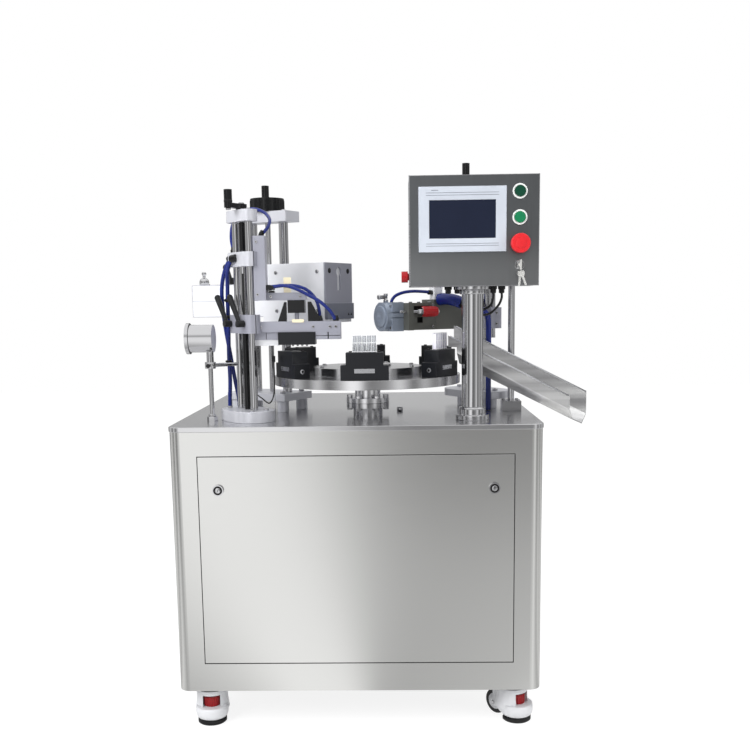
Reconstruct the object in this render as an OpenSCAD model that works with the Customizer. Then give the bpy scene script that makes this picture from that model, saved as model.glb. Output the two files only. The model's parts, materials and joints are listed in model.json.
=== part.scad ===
// Rotary tube filling, sealing and trimming machine on a stainless cabinet with levelling casters.
// Working axes: X right, Y back, Z up, with zero at the middle of the front edge of the table top.

/* [Cabinet] */
// Width of the cabinet
cabinet_w = 870; // [840:10:960]
// Depth of the cabinet
cabinet_d = 850; // [800:10:960]
// Height from the bottom edge to the table top
cabinet_h = 640; // [620:10:760]
// Thickness of the cabinet's sheet
sheet_t = 3; // [2:0.5:4]
// Radius of the upright corners
corner_r = 28; // [20:1:34]
// Thickness of the table top
top_t = 12; // [8:1:16]
// How far the table top stands proud of the walls
top_overhang = 2; // [1:0.5:5]
// Height of the bottom frame's tubes
frame_h = 40; // [30:1:60]
// Width of the bottom frame's tubes
frame_w = 60; // [50:1:80]

/* [Front panel] */
// Width of the front panel
panel_w = 735; // [680:5:760]
// Height of the front panel
panel_h = 500; // [440:5:530]
// Distance from the table top down to the panel
panel_drop = 70; // [50:1:80]
// Gap all round the panel
panel_gap = 2; // [1:0.5:4]
// Width of the lip that the panel rests on
lip_w = 20; // [14:1:26]
// Distance of each lock from the panel's side
lock_inset = 46; // [42:1:60]
// Distance of each lock below the panel's top
lock_drop = 78; // [50:1:120]
// Diameter of a lock's head
lock_head_d = 26; // [22:1:32]
// Diameter of a lock's barrel
lock_barrel_d = 18; // [14:1:20]

/* [Casters] */
// Height of a caster from the floor to the cabinet
caster_h = 94; // [92:1:106]
// Distance of a caster's swivel from the cabinet's sides
caster_inset = 68; // [64:1:80]
// Diameter of a caster's wheel
wheel_d = 62; // [56:1:64]
// Width of a caster's wheel
wheel_w = 30; // [26:1:34]
// Distance from the swivel to the wheel's axle
caster_trail = 34; // [33:1:38]
// Diameter of a wheel's axle
axle_d = 10; // [8:1:12]
// Thickness of the fork's cheeks
cheek_t = 7; // [5:1:9]
// Diameter of the levelling pad
pad_d = 60; // [50:1:62]
// Side of the caster's top plate
caster_plate_w = 90; // [80:1:100]

/* [Turntable] */
// Distance of the turntable's axis to the right of the middle
disc_x = 24; // [10:1:34]
// Distance of the turntable's axis behind the front edge
disc_y = 233; // [232:1:250]
// Radius of the turntable
disc_r = 232; // [230:1:234]
// Height of the turntable's upper face above the table
disc_top = 103; // [101:1:108]
// Thickness of the turntable
disc_t = 22; // [16:1:24]
// Diameter of the raised ring on the turntable
ring_d = 272; // [220:1:300]
// Height of the raised ring
ring_h = 20; // [12:1:24]
// Diameter of the turntable's neck
neck_d = 64; // [56:1:72]
// Diameter of the flanges under the turntable
flange_d = 108; // [100:1:120]
// Diameter of the drive shaft
shaft_d = 40; // [30:1:44]

/* [Tube fixtures] */
// Number of fixtures on the turntable
fixture_n = 6; // [4:1:6]
// Width of a fixture's foot
fixture_w = 111; // [100:1:112]
// Width of a fixture's upper block
fixture_upper_w = 86; // [80:1:90]
// Depth of a fixture along the radius
fixture_t = 40; // [34:1:44]
// Height of a fixture's foot
fixture_step = 35; // [30:1:40]
// Height of a fixture
fixture_h = 64; // [58:1:66]
// Distance of a fixture's outer face from the axis
fixture_r = 225; // [222:1:225]
// Depth of the slot that holds a tube strip
slot_depth = 22; // [16:1:26]
// Number of tubes in a strip
tube_n = 5; // [3:1:5]
// Diameter of a tube
tube_d = 9; // [7:0.5:10]
// Spacing of the tubes
tube_pitch = 11.2; // [10.5:0.1:12]
// Height of a tube strip
strip_h = 61; // [50:1:62]

/* [Filling station] */
// Place of the filling station to the left of the middle
fill_x = -266; // [-272:1:-262]
// Place of the filling station behind the front edge
fill_y = 136; // [132:1:140]
// Spacing of its two columns
fill_gap = 67; // [64:1:72]
// Diameter of its columns
fill_col_d = 18; // [16:1:20]
// Thickness of its base
fill_base_t = 27; // [20:1:32]
// Width of its base
fill_base_w = 105; // [90:1:110]
// Height of its top plate's underside
fill_top_z = 472; // [470:1:500]
// Thickness of the stations' top plates
top_plate_t = 27; // [20:1:30]
// Diameter of the stations' lead screws
screw_d = 14; // [12:1:16]
// Height of the upper clamp block's underside
upper_clamp_z = 368; // [360:1:380]
// Height of the upper clamp block
upper_clamp_h = 34; // [28:1:40]
// Height of the lower clamp block's underside
arm_z = 213; // [213:1:218]
// Height of the lower clamp block
arm_clamp_h = 42; // [36:1:46]
// Thickness of the filling arm
arm_t = 25; // [20:1:26]
// Width of the filling arm
arm_w = 36; // [32:1:38]
// Distance from the columns' middle to the arm's end
arm_reach = 231; // [220:1:236]
// Height of the upper arm's underside
upper_arm_z = 288; // [284:1:292]
// Thickness of the upper arm
upper_arm_t = 18; // [14:1:20]
// Height of the press cylinder under the upper arm
press_h = 30; // [24:1:30]
// Width of the nozzle block
nozzle_w = 88; // [80:1:88]
// Height of the nozzle block
nozzle_h = 30; // [26:1:32]

/* [Sealing station] */
// Radius at which the inner column of the raised stations stands
inner_col_r = 250; // [248:1:256]
// Spacing of the raised stations' columns
col_gap = 100; // [94:1:106]
// Diameter of the raised stations' columns
col_d = 24; // [20:1:26]
// Height of the raised bases' underside
raised_z = 29; // [24:1:34]
// Thickness of the raised bases
raised_t = 19; // [16:1:24]
// Width of the raised bases
raised_w = 124; // [110:1:130]
// Height of the sealing station's top plate
weld_top_z = 489; // [484:1:505]
// Radius at which the sealing housing begins
housing_r = 85; // [80:1:90]
// Length of the sealing housing's tall part
housing_l = 190; // [184:1:196]
// Length of the sealing housing's low tail
tail_l = 240; // [225:1:250]
// Width of the sealing housing
housing_w = 124; // [116:1:128]
// Height of the sealing housing's underside
housing_z = 232; // [230:1:240]
// Height of the sealing housing
housing_h = 148; // [140:1:152]
// Height of the tail's underside
tail_z = 247; // [244:1:250]
// Height of the tail
tail_h = 85; // [78:1:90]
// Diameter of the handwheel
handwheel_d = 88; // [80:1:96]
// Height of the handwheel
handwheel_h = 34; // [28:1:38]
// Diameter of the revolving grips
grip_d = 19; // [16:1:22]
// Length of the revolving grips
grip_l = 30; // [26:1:40]

/* [Trimming station] */
// Radius at which the trimming station's columns stand
cut_r = 333; // [328:1:338]
// Spacing of the trimming station's columns
cut_gap = 90; // [86:1:96]
// Height of the trimming station's top plate
cut_top_z = 558; // [550:1:575]
// Height of the trimming head's underside
cut_z = 210; // [209:1:216]
// Height of the trimming head
cut_h = 68; // [64:1:72]
// Side of the square air cylinder
cyl_w = 72; // [66:1:76]
// Distance of the air cylinder's flange from the turntable's axis
cyl_l = 86; // [80:1:90]
// Distance of the air cylinder's cap from the turntable's axis
cyl_tip = 40; // [30:1:46]
// Diameter of the red knob
knob_d = 24; // [20:1:26]
// Length of the red knob
knob_l = 46; // [40:1:50]

/* [Suction hood] */
// Place of the hood's post to the left of the middle
hood_x = -350; // [-356:1:-346]
// Place of the hood's post behind the front edge
hood_y = 116; // [110:1:120]
// Height of the hood's axis
hood_z = 200; // [196:1:202]
// Diameter of the hood
hood_d = 66; // [58:1:68]
// Length of the hood
hood_l = 54; // [46:1:60]

/* [Chute] */
// Width of the chute
chute_w = 100; // [94:1:102]
// Place of the chute's front wall behind the front edge
chute_y = 142; // [138:1:144]
// Slope of the chute in degrees
chute_slope = 27; // [25:0.5:28]
// Height of the chute's front wall across the slope
chute_front_h = 48; // [42:1:52]
// Height of the chute's back wall across the slope
chute_back_h = 76; // [70:1:80]
// Distance of the chute's tip to the right of the middle
chute_tip = 576; // [560:1:590]
// Sheet of the chute
chute_t = 2.5; // [2:0.5:3]
// Diameter of the chute's post
chute_post_d = 17; // [14:1:20]
// Height of the chute's post
chute_post_h = 400; // [380:1:420]

/* [Control box] */
// Place of the control post to the right of the middle
post_x = 278; // [274:1:282]
// Place of the control post behind the front edge
post_y = 109; // [106:1:112]
// Diameter of the control post
post_d = 50.8; // [48:0.1:54]
// Width of the control box
box_w = 296; // [290:1:304]
// Height of the control box
box_h = 248; // [244:1:256]
// Depth of the control box
box_d = 140; // [130:1:150]
// Height of the control box above the table
box_z = 315; // [310:1:330]
// Place of the control box's door behind the front edge
box_y = 63; // [60:1:66]
// Sheet of the control box
box_t = 2.5; // [2:0.5:3]
// Width of the touch panel's bezel
hmi_w = 200; // [190:1:204]
// Height of the touch panel's bezel
hmi_h = 146; // [138:1:150]
// Width of the touch panel's screen
screen_w = 152; // [140:1:156]
// Height of the touch panel's screen
screen_h = 86; // [80:1:92]
// Outer diameter of the button rings
button_ring_d = 34; // [32:1:36]
// Diameter of the button caps
button_d = 25; // [22:1:26]
// Travel of the buttons
button_travel = 3; // [2:0.5:4]
// Diameter of the stop button's mushroom head
stop_d = 44; // [40:1:46]

/* [Fits] */
// Radial clearance of sliding and turning fits
run_fit = 0.05; // [0.02:0.01:0.08]
// Gap between flat faces that move past each other
face_gap = 0.5; // [0.4:0.1:1]

/* [Hidden] */
$fn = 48;
eps = 0.01;

// Where the whole machine stands: the origin is under the middle of its outline, on the floor
gland_l = 26;
lock_head_t = 6;
rear_panel_t = 2;
weld_angle = 150;
cut_angle = 30;
tail_end_r = housing_r + housing_l + tail_l;
tail_corner_x = disc_x + tail_end_r * cos(weld_angle) - housing_w / 2 * sin(weld_angle);
left_reach = min(tail_corner_x, -cabinet_w / 2 - top_overhang);
back_reach = cabinet_d + gland_l;
front_reach = -lock_head_t;
floor_z = -cabinet_h - caster_h;
mid_x = (left_reach + chute_tip) / 2;
mid_y = (front_reach + back_reach) / 2;

module placed() {
  translate([-mid_x, -mid_y, -floor_z])
    children();
}

// Radial frame of a station: local x runs outwards from the turntable's axis
module at_station(angle) {
  translate([disc_x, disc_y, 0])
    rotate(angle)
      children();
}

// A block with upright round corners, centred on its width and depth
module round_block(w, d, h, r) {
  linear_extrude(h) {
    square([w - 2 * r, d], center = true);
    square([w, d - 2 * r], center = true);
    for (sx = [-1, 1])
      for (sy = [-1, 1])
        translate([sx * (w / 2 - r), sy * (d / 2 - r)])
          circle(r);
  }
}

// A plate with two round ends, long side along x
module slot_plate(l, w, h) {
  linear_extrude(h) {
    square([l - w, w], center = true);
    for (s = [-1, 1])
      translate([s * (l - w) / 2, 0])
        circle(w / 2);
  }
}

module ring_of(n, r) {
  for (i = [0 : n - 1])
    rotate(i * 360 / n)
      translate([r, 0, 0])
        children();
}

// A tube swept along smooth points; side is a direction that the route never runs along
function unit(v) = v / norm(v);
function blend_at(p, i, u) =
  let (a = p[max(i - 1, 0)], b = p[i], c = p[i + 1], d = p[min(i + 2, len(p) - 1)])
  0.5 * (2 * b + (c - a) * u + (2 * a - 5 * b + 4 * c - d) * u * u + (3 * b - a - 3 * c + d) * u * u * u);
function smooth_route(p, steps) = [
  for (i = [0 : len(p) - 2]) for (s = [0 : steps - 1]) blend_at(p, i, s / steps),
  p[len(p) - 1]
];
module hose(points, d, side, steps = 2) {
  route = smooth_route(points, steps);
  sides = 10;
  n = len(route);
  rings = [
    for (i = [0 : n - 1])
      let (
        along = unit(route[min(i + 1, n - 1)] - route[max(i - 1, 0)]),
        across = unit(cross(along, side)),
        up = cross(across, along)
      )
      for (k = [0 : sides - 1])
        route[i] + d / 2 * (cos(k * 360 / sides) * across + sin(k * 360 / sides) * up)
  ];
  walls = [
    for (i = [0 : n - 2])
      for (k = [0 : sides - 1])
        let (a = i * sides + k, b = i * sides + (k + 1) % sides)
        [a, b, b + sides, a + sides]
  ];
  first = [for (k = [sides - 1 : -1 : 0]) k];
  last = [for (k = [0 : sides - 1]) (n - 1) * sides + k];
  polyhedron(rings, concat(walls, [first], [last]), convexity = 6);
}

// Cabinet

wall_h = cabinet_h - top_t;
panel_z = -panel_drop - panel_h;
lip_y = sheet_t + face_gap;
vent_w = 500;
vent_h = 360;
vent_z = -420;
rear_panel_edge = 30;

module cabinet_shell() {
  color("silver") {
    difference() {
      translate([0, cabinet_d / 2, -cabinet_h])
        round_block(cabinet_w, cabinet_d, wall_h, corner_r);
      translate([0, cabinet_d / 2, -cabinet_h - 1])
        round_block(cabinet_w - 2 * sheet_t, cabinet_d - 2 * sheet_t, wall_h + 2, corner_r - sheet_t);
      translate([-panel_w / 2 - panel_gap, -1, panel_z - panel_gap])
        cube([panel_w + 2 * panel_gap, sheet_t + 2, panel_h + 2 * panel_gap]);
      translate([-vent_w / 2, cabinet_d - sheet_t - 1, vent_z - vent_h / 2])
        cube([vent_w, sheet_t + 2, vent_h]);
      translate([gland_x, cabinet_d - sheet_t - 1, gland_z])
        rotate([-90, 0, 0])
          cylinder(d = gland_hole_d, h = sheet_t + 2);
    }
    // Folded lip behind the front panel, joined to the wall round the opening
    difference() {
      translate([-panel_w / 2 - lip_w, sheet_t - eps, panel_z - lip_w])
        cube([panel_w + 2 * lip_w, sheet_t + face_gap, panel_h + 2 * lip_w]);
      translate([-panel_w / 2 + lip_w, 0, panel_z + lip_w])
        cube([panel_w - 2 * lip_w, 3 * sheet_t, panel_h - 2 * lip_w]);
      translate([-panel_w / 2 - panel_gap, 0, panel_z - panel_gap])
        cube([panel_w + 2 * panel_gap, lip_y, panel_h + 2 * panel_gap]);
    }
  }
}

spindle_hole_d = 56;

module table_top() {
  color("gainsboro")
    difference() {
      translate([0, cabinet_d / 2, -top_t])
        round_block(
          cabinet_w + 2 * top_overhang, cabinet_d + 2 * top_overhang, top_t, corner_r + top_overhang
        );
      translate([disc_x, disc_y, -top_t - 1])
        cylinder(d = spindle_hole_d, h = top_t + 2);
    }
}

module bottom_frame() {
  color("dimgray") {
    difference() {
      translate([0, cabinet_d / 2, -cabinet_h])
        round_block(
          cabinet_w - 2 * sheet_t, cabinet_d - 2 * sheet_t, frame_h, corner_r - sheet_t
        );
      translate([0, cabinet_d / 2, -cabinet_h - 1])
        round_block(
          cabinet_w - 2 * sheet_t - 2 * frame_w, cabinet_d - 2 * sheet_t - 2 * frame_w, frame_h + 2, corner_r
        );
    }
    difference() {
      translate([0, cabinet_d / 2, -cabinet_h + frame_h])
        round_block(
          cabinet_w - 2 * sheet_t, cabinet_d - 2 * sheet_t, sheet_t, corner_r - sheet_t
        );
      // The floor pan stays behind the panel's folded lip
      translate([-cabinet_w / 2, 0, -cabinet_h + frame_h - 1])
        cube([cabinet_w, 3 * sheet_t, sheet_t + 2]);
    }
  }
}

louvre_n = 9;
louvre_h = 8;
louvre_w = 360;
louvre_pitch = 26;
gland_d = 34;
gland_side = 3;
gland_x = vent_w / 2 + rear_panel_edge + gland_side + gland_d / 2;
gland_z = -540;

module rear_panel() {
  color("silver")
    difference() {
      translate([
        -vent_w / 2 - rear_panel_edge, cabinet_d, vent_z - vent_h / 2 - rear_panel_edge
      ])
        cube([vent_w + 2 * rear_panel_edge, rear_panel_t, vent_h + 2 * rear_panel_edge]);
      for (i = [0 : louvre_n - 1])
        translate([
          -louvre_w / 2, cabinet_d - 1, vent_z + (i - (louvre_n - 1) / 2) * louvre_pitch - louvre_h / 2
        ])
          cube([louvre_w, rear_panel_t + 2, louvre_h]);
    }
}

gland_bore_d = 14;
gland_cap_d = 27;
gland_hole_d = 20;

module cable_gland() {
  color("black")
    translate([gland_x, cabinet_d, gland_z])
      rotate([-90, 0, 0])
        difference() {
          union() {
            cylinder(d = gland_d, h = gland_l / 2, $fn = 6);
            cylinder(d = gland_cap_d, h = gland_l);
          }
          translate([0, 0, -1])
            cylinder(d = gland_bore_d, h = gland_l + 2);
        }
}

lock_x = panel_w / 2 - lock_inset;
lock_z = -panel_drop - lock_drop;
cam_y = 2 * sheet_t + 2 * face_gap;
cam_t = 3;
cam_l = 40;
cam_w = 14;
key_cut_w = 3;
key_cut_deep = 1.5;
key_cut_l = 16;

module front_panel() {
  color("silver")
    difference() {
      translate([-panel_w / 2, 0, panel_z])
        cube([panel_w, sheet_t, panel_h]);
      for (s = [-1, 1])
        translate([s * lock_x, -1, lock_z])
          rotate([-90, 0, 0])
            cylinder(d = lock_barrel_d + 2 * run_fit, h = sheet_t + 2);
    }
}

// A quarter-turn lock: the cam hangs down when open and swings behind the lip when locked
module panel_lock(x) {
  color("gainsboro")
    translate([x, 0, lock_z]) {
      rotate([90, 0, 0])
        difference() {
          translate([0, 0, face_gap / 5])
            cylinder(d = lock_head_d, h = lock_head_t - face_gap / 5);
          translate([-key_cut_l / 2, -key_cut_w / 2, lock_head_t - key_cut_deep])
            cube([key_cut_l, key_cut_w, key_cut_deep + 1]);
        }
      rotate([-90, 0, 0])
        translate([0, 0, -1])
          cylinder(d = lock_barrel_d, h = cam_y + 1 + eps);
      translate([-cam_w / 2, cam_y, -cam_l])
        cube([cam_w, cam_t, cam_l + cam_w / 2]);
    }
}
module panel_lock_left() { panel_lock(-lock_x); }
module panel_lock_right() { panel_lock(lock_x); }

// Casters: the pad side faces local -x, the wheel trails on local +x

caster_x = cabinet_w / 2 - caster_inset;
caster_front_y = caster_inset;
caster_back_y = cabinet_d - caster_inset;
caster_plate_t = 7;
caster_turn_fl = 96;
caster_turn_fr = 132;
caster_turn_bl = 60;
caster_turn_br = 110;
stem_d = 16;
stem_l = 18;
swivel_d = 78;
swivel_t = 10;
hull_d = 76;
hull_bottom = 18;
bowl_low_d = 62;
bowl_d = 83;
bowl_rise = 14;
bowl_taper = 26;
fork_top = -cabinet_h - caster_plate_t - face_gap;
axle_z = floor_z + wheel_d / 2;
wheel_room = 3;
pad_h = 12;
pad_x = -24;
thumb_d = 36;
thumb_h = 24;
thumb_rise = 42;
thumb_z = floor_z + thumb_rise;
hull_back = 8;
axle_boss_d = 24;
cheek_low = 8;
window_back = 22;
window_w = 42;
window_h = 30;
cheek_y = wheel_w / 2 + face_gap;

module at_caster(x, y, turn) {
  translate([x, y, 0])
    rotate(turn)
      children();
}

module caster_plates() {
  color("black")
    for (sx = [-1, 1])
      for (y = [caster_front_y, caster_back_y])
        translate([sx * caster_x, y, -cabinet_h - caster_plate_t]) {
          translate([-caster_plate_w / 2, -caster_plate_w / 2, 0])
            cube([caster_plate_w, caster_plate_w, caster_plate_t]);
          translate([0, 0, -stem_l])
            cylinder(d = stem_d, h = stem_l + eps);
        }
}

module fork_body() {
  color("whitesmoke") {
    difference() {
      union() {
        translate([0, 0, fork_top - swivel_t])
          cylinder(d = swivel_d, h = swivel_t);
        translate([-hull_back, 0, floor_z + hull_bottom]) {
          cylinder(d1 = bowl_low_d, d2 = bowl_d, h = bowl_rise);
          translate([0, 0, bowl_rise - eps])
            cylinder(d1 = bowl_d, d2 = hull_d, h = bowl_taper);
          translate([0, 0, bowl_rise])
            cylinder(d = hull_d, h = fork_top - floor_z - hull_bottom - bowl_rise - swivel_t / 2);
        }
        for (s = [-1, 1]) {
          translate([caster_trail, s * (cheek_y + cheek_t / 2) + cheek_t / 2, axle_z])
            rotate([90, 0, 0])
              cylinder(d = axle_boss_d, h = cheek_t);
          translate([0, s * (cheek_y + cheek_t / 2) - cheek_t / 2, axle_z - cheek_low])
            cube([caster_trail, cheek_t, fork_top - swivel_t - axle_z + cheek_low + eps]);
        }
      }
      translate([0, 0, fork_top - stem_l])
        cylinder(d = stem_d + 2 * run_fit, h = stem_l + 1);
      translate([caster_trail, cheek_y, axle_z])
        rotate([90, 0, 0])
          cylinder(d = wheel_d + 2 * wheel_room, h = 2 * cheek_y);
      translate([caster_trail, cheek_y + cheek_t + 1, axle_z])
        rotate([90, 0, 0])
          cylinder(d = axle_d + 2 * run_fit, h = 2 * (cheek_y + cheek_t + 1));
      translate([-hull_d, -window_w / 2, thumb_z - 1])
        cube([hull_d - window_back, window_w, window_h]);
    }
    // The levelling pad, screwed down to the floor on its own stem
    translate([pad_x, 0, floor_z])
      cylinder(d = pad_d, h = pad_h);
    translate([pad_x, 0, floor_z + pad_h - eps])
      cylinder(d = stem_d, h = thumb_z - floor_z - pad_h + eps);
    translate([pad_x, 0, thumb_z - eps])
      cylinder(d = thumb_d, h = thumb_h);
  }
}
module caster_fork_front_left() { at_caster(-caster_x, caster_front_y, caster_turn_fl) fork_body(); }
module caster_fork_front_right() { at_caster(caster_x, caster_front_y, caster_turn_fr) fork_body(); }
module caster_fork_back_left() { at_caster(-caster_x, caster_back_y, caster_turn_bl) fork_body(); }
module caster_fork_back_right() { at_caster(caster_x, caster_back_y, caster_turn_br) fork_body(); }

// A wheel with its own axle, which turns in the fork's two cheeks
module wheel_body() {
  color("black")
    translate([caster_trail, 0, axle_z])
      rotate([90, 0, 0]) {
        cylinder(d = wheel_d, h = wheel_w, center = true);
        cylinder(d = axle_d, h = 2 * (cheek_y + cheek_t), center = true);
      }
}
module caster_wheel_front_left() { at_caster(-caster_x, caster_front_y, caster_turn_fl) wheel_body(); }
module caster_wheel_front_right() { at_caster(caster_x, caster_front_y, caster_turn_fr) wheel_body(); }
module caster_wheel_back_left() { at_caster(-caster_x, caster_back_y, caster_turn_bl) wheel_body(); }
module caster_wheel_back_right() { at_caster(caster_x, caster_back_y, caster_turn_br) wheel_body(); }

// Inside the cabinet

gearbox_w = 180;
gearbox_h = 150;
motor_d = 100;
motor_l = 180;

module index_drive() {
  color("steelblue")
    translate([disc_x, disc_y, -top_t]) {
      translate([-gearbox_w / 2, -gearbox_w / 2, -gearbox_h])
        cube([gearbox_w, gearbox_w, gearbox_h]);
      translate([0, gearbox_w / 2 - eps, -gearbox_h / 2])
        rotate([-90, 0, 0])
          cylinder(d = motor_d, h = motor_l);
    }
}

plate_w = 420;
plate_h = 260;
plate_y = 620;
plate_foot = 50;
valve_n = 6;
valve_w = 24;
valve_d = 60;
valve_h = 50;
valve_gap = 2;
valve_edge = 30;
valve_z = 143;
drive_w = 150;
drive_d = 90;
drive_h = 120;
drive_z = 104;

module valve_plate() {
  color("slategray")
    translate([-plate_w / 2, plate_y, -cabinet_h + frame_h + sheet_t]) {
      cube([plate_w, sheet_t, plate_h]);
      cube([plate_w, plate_foot, sheet_t]);
      for (i = [0 : valve_n - 1])
        translate([valve_edge + i * (valve_w + valve_gap), sheet_t - eps, valve_z])
          cube([valve_w, valve_d, valve_h]);
      translate([plate_w - valve_edge - drive_w, sheet_t - eps, drive_z])
        cube([drive_w, drive_d, drive_h]);
    }
}

// Turntable

disc_bottom = disc_top - disc_t;
boss_d = 74;
boss_h = 20;
flange_t = 12;
flange_bolt_n = 6;
flange_bolt_d = 14;
flange_bolt_h = 7;
flange_bolt_edge = 1.5;
flange_bolt_pcd = flange_d - flange_bolt_d - 2 * flange_bolt_edge;
lower_flange_top = boss_h + flange_t;
upper_flange_z = lower_flange_top + face_gap;

module spindle_flange() {
  color("silver")
    translate([disc_x, disc_y, 0])
      difference() {
        union() {
          cylinder(d = boss_d, h = boss_h + eps);
          translate([0, 0, boss_h])
            cylinder(d = flange_d, h = flange_t);
          translate([0, 0, boss_h - flange_bolt_h])
            ring_of(flange_bolt_n, flange_bolt_pcd / 2)
              cylinder(d = flange_bolt_d, h = flange_bolt_h + eps, $fn = 6);
        }
        translate([0, 0, -1])
          cylinder(d = shaft_d + 2 * run_fit, h = lower_flange_top + 2);
      }
}

module turntable_disc() {
  color("lightgray")
    translate([disc_x, disc_y, 0]) {
      translate([0, 0, disc_bottom])
        cylinder(r = disc_r, h = disc_t, $fn = 128);
      translate([0, 0, disc_top - eps])
        cylinder(d = ring_d, h = ring_h + eps, $fn = 96);
      translate([0, 0, upper_flange_z])
        cylinder(d = neck_d, h = disc_bottom - upper_flange_z + eps);
      translate([0, 0, upper_flange_z])
        cylinder(d = flange_d, h = flange_t);
      translate([0, 0, upper_flange_z + flange_t - eps])
        ring_of(flange_bolt_n, flange_bolt_pcd / 2)
          cylinder(d = flange_bolt_d, h = flange_bolt_h, $fn = 6);
      // Drive shaft, down through the bearing housing to the top of the index gearbox
      translate([0, 0, -top_t + face_gap])
        cylinder(d = shaft_d, h = upper_flange_z + top_t);
    }
}

strip_l = (tube_n - 1) * tube_pitch + tube_d;
strip_fit = 0.4;
strip_r = fixture_r - fixture_t / 2;
strip_z = disc_top + fixture_h - slot_depth;

module tube_fixtures() {
  color("darkslategray")
    for (i = [0 : fixture_n - 1])
      at_station(-90 + i * 360 / fixture_n)
        difference() {
          union() {
            translate([fixture_r - fixture_t, -fixture_w / 2, disc_top])
              cube([fixture_t, fixture_w, fixture_step]);
            translate([fixture_r - fixture_t, -fixture_upper_w / 2, disc_top + fixture_step - eps])
              cube([fixture_t, fixture_upper_w, fixture_h - fixture_step + eps]);
          }
          translate([strip_r - tube_d / 2 - strip_fit, -strip_l / 2 - strip_fit, strip_z])
            cube([tube_d + 2 * strip_fit, strip_l + 2 * strip_fit, slot_depth + 1]);
        }
}

web_t = 2.5;
web_edge = 2;

module tube_strip() {
  for (k = [0 : tube_n - 1])
    translate([strip_r, (k - (tube_n - 1) / 2) * tube_pitch, strip_z])
      cylinder(d = tube_d, h = strip_h, $fn = 24);
  translate([strip_r - web_t / 2, -strip_l / 2 + tube_d / 2, strip_z + web_edge])
    cube([web_t, strip_l - tube_d, strip_h - 2 * web_edge]);
}

module tube_strips() {
  color("aliceblue")
    for (i = [0, 1])
      at_station(-90 + i * 360 / fixture_n)
        tube_strip();
}

// Columns and plates of the three stations

fill_turn = 126;
fill_plate_w = 42;
fill_top = fill_top_z + top_plate_t;
outer_col_r = inner_col_r + col_gap;
screw_r = inner_col_r + col_gap / 2;
raised_top = raised_z + raised_t;
base_inner_edge = 35;
base_outer_edge = 55;
raised_inner_r = inner_col_r - base_inner_edge;
raised_outer_r = outer_col_r + base_outer_edge;
spacer_d = 30;
spacer_edge = 20;
spacer_wall = 15;
plate_edge = 30;
fill_base_end = 46.5;

module at_fill() {
  translate([fill_x, fill_y, 0])
    rotate(fill_turn)
      children();
}

module fill_column_places() {
  at_fill()
    for (s = [-1, 1])
      translate([s * fill_gap / 2, 0, 0])
        children();
}

module weld_column_places() {
  at_station(weld_angle)
    for (r = [inner_col_r, outer_col_r])
      translate([r, 0, 0])
        children();
}

module cut_column_places() {
  at_station(cut_angle)
    for (s = [-1, 1])
      translate([cut_r, s * cut_gap / 2, 0])
        children();
}

module guide_columns() {
  color("gainsboro") {
    fill_column_places()
      translate([0, 0, fill_base_t])
        cylinder(d = fill_col_d, h = fill_top_z - fill_base_t);
    weld_column_places()
      translate([0, 0, raised_top])
        cylinder(d = col_d, h = weld_top_z - raised_top);
    cut_column_places()
      translate([0, 0, raised_top])
        cylinder(d = col_d, h = cut_top_z - raised_top);
  }
}

module screw_hole(z) {
  translate([0, 0, z - 1])
    cylinder(d = screw_d + 2 * run_fit, h = top_plate_t + 2);
}

module column_top_plates() {
  color("lightgray") {
    at_fill()
      difference() {
        translate([0, 0, fill_top_z])
          slot_plate(fill_gap + fill_plate_w, fill_plate_w, top_plate_t);
        screw_hole(fill_top_z);
      }
    at_station(weld_angle)
      translate([screw_r, 0, 0])
        difference() {
          translate([-col_gap / 2 - plate_edge, -plate_edge, weld_top_z])
            cube([col_gap + 2 * plate_edge, 2 * plate_edge, top_plate_t]);
          screw_hole(weld_top_z);
        }
    at_station(cut_angle)
      translate([cut_r, 0, 0])
        rotate(90)
          difference() {
            translate([0, 0, cut_top_z])
              slot_plate(cut_gap + 2 * plate_edge, 2 * plate_edge, top_plate_t);
            screw_hole(cut_top_z);
          }
  }
}

module station_bases() {
  color("silver") {
    at_fill()
      slot_plate(fill_gap + 2 * fill_base_end, fill_base_w, fill_base_t);
    at_station(weld_angle) {
      translate([raised_inner_r, -raised_w / 2, raised_z])
        cube([raised_outer_r - raised_inner_r, raised_w, raised_t]);
      for (r = [raised_inner_r + spacer_edge, raised_outer_r - spacer_edge])
        for (s = [-1, 1])
          translate([r, s * (raised_w / 2 - spacer_edge), 0])
            cylinder(d = spacer_d, h = raised_z + eps);
    }
    at_station(cut_angle)
      translate([cut_r, 0, 0])
        rotate(90) {
          translate([0, 0, raised_z])
            slot_plate(cut_gap + raised_w, raised_w, raised_t);
          for (s = [-1, 1])
            translate([s * cut_gap / 2, 0, 0])
              cylinder(d = col_d + 2 * spacer_wall, h = raised_z + eps);
        }
  }
}

// Filling station, front left

crank_arm_l = 48;
crank_arm_w = 16;
crank_arm_t = 11;
crank_hub_d = 26;
crank_hub_h = 3;
crank_turn_fill = 240;
crank_turn_cut = 228;

// A crank on its lead screw, with a grip at the end of the arm
module crank(z_low, z_plate, turn) {
  hub_z = z_plate + face_gap;
  translate([0, 0, z_low + face_gap])
    cylinder(d = screw_d, h = hub_z - z_low);
  translate([0, 0, hub_z])
    cylinder(d = crank_hub_d, h = crank_hub_h + crank_arm_t);
  rotate(turn) {
    translate([0, -crank_arm_w / 2, hub_z + crank_hub_h])
      cube([crank_arm_l, crank_arm_w, crank_arm_t]);
    translate([crank_arm_l, 0, hub_z + crank_hub_h])
      cylinder(d = grip_d, h = crank_arm_t + grip_l);
  }
}

module fill_crank() {
  color("black")
    translate([fill_x, fill_y, 0])
      crank(fill_base_t, fill_top, crank_turn_fill);
}

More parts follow.
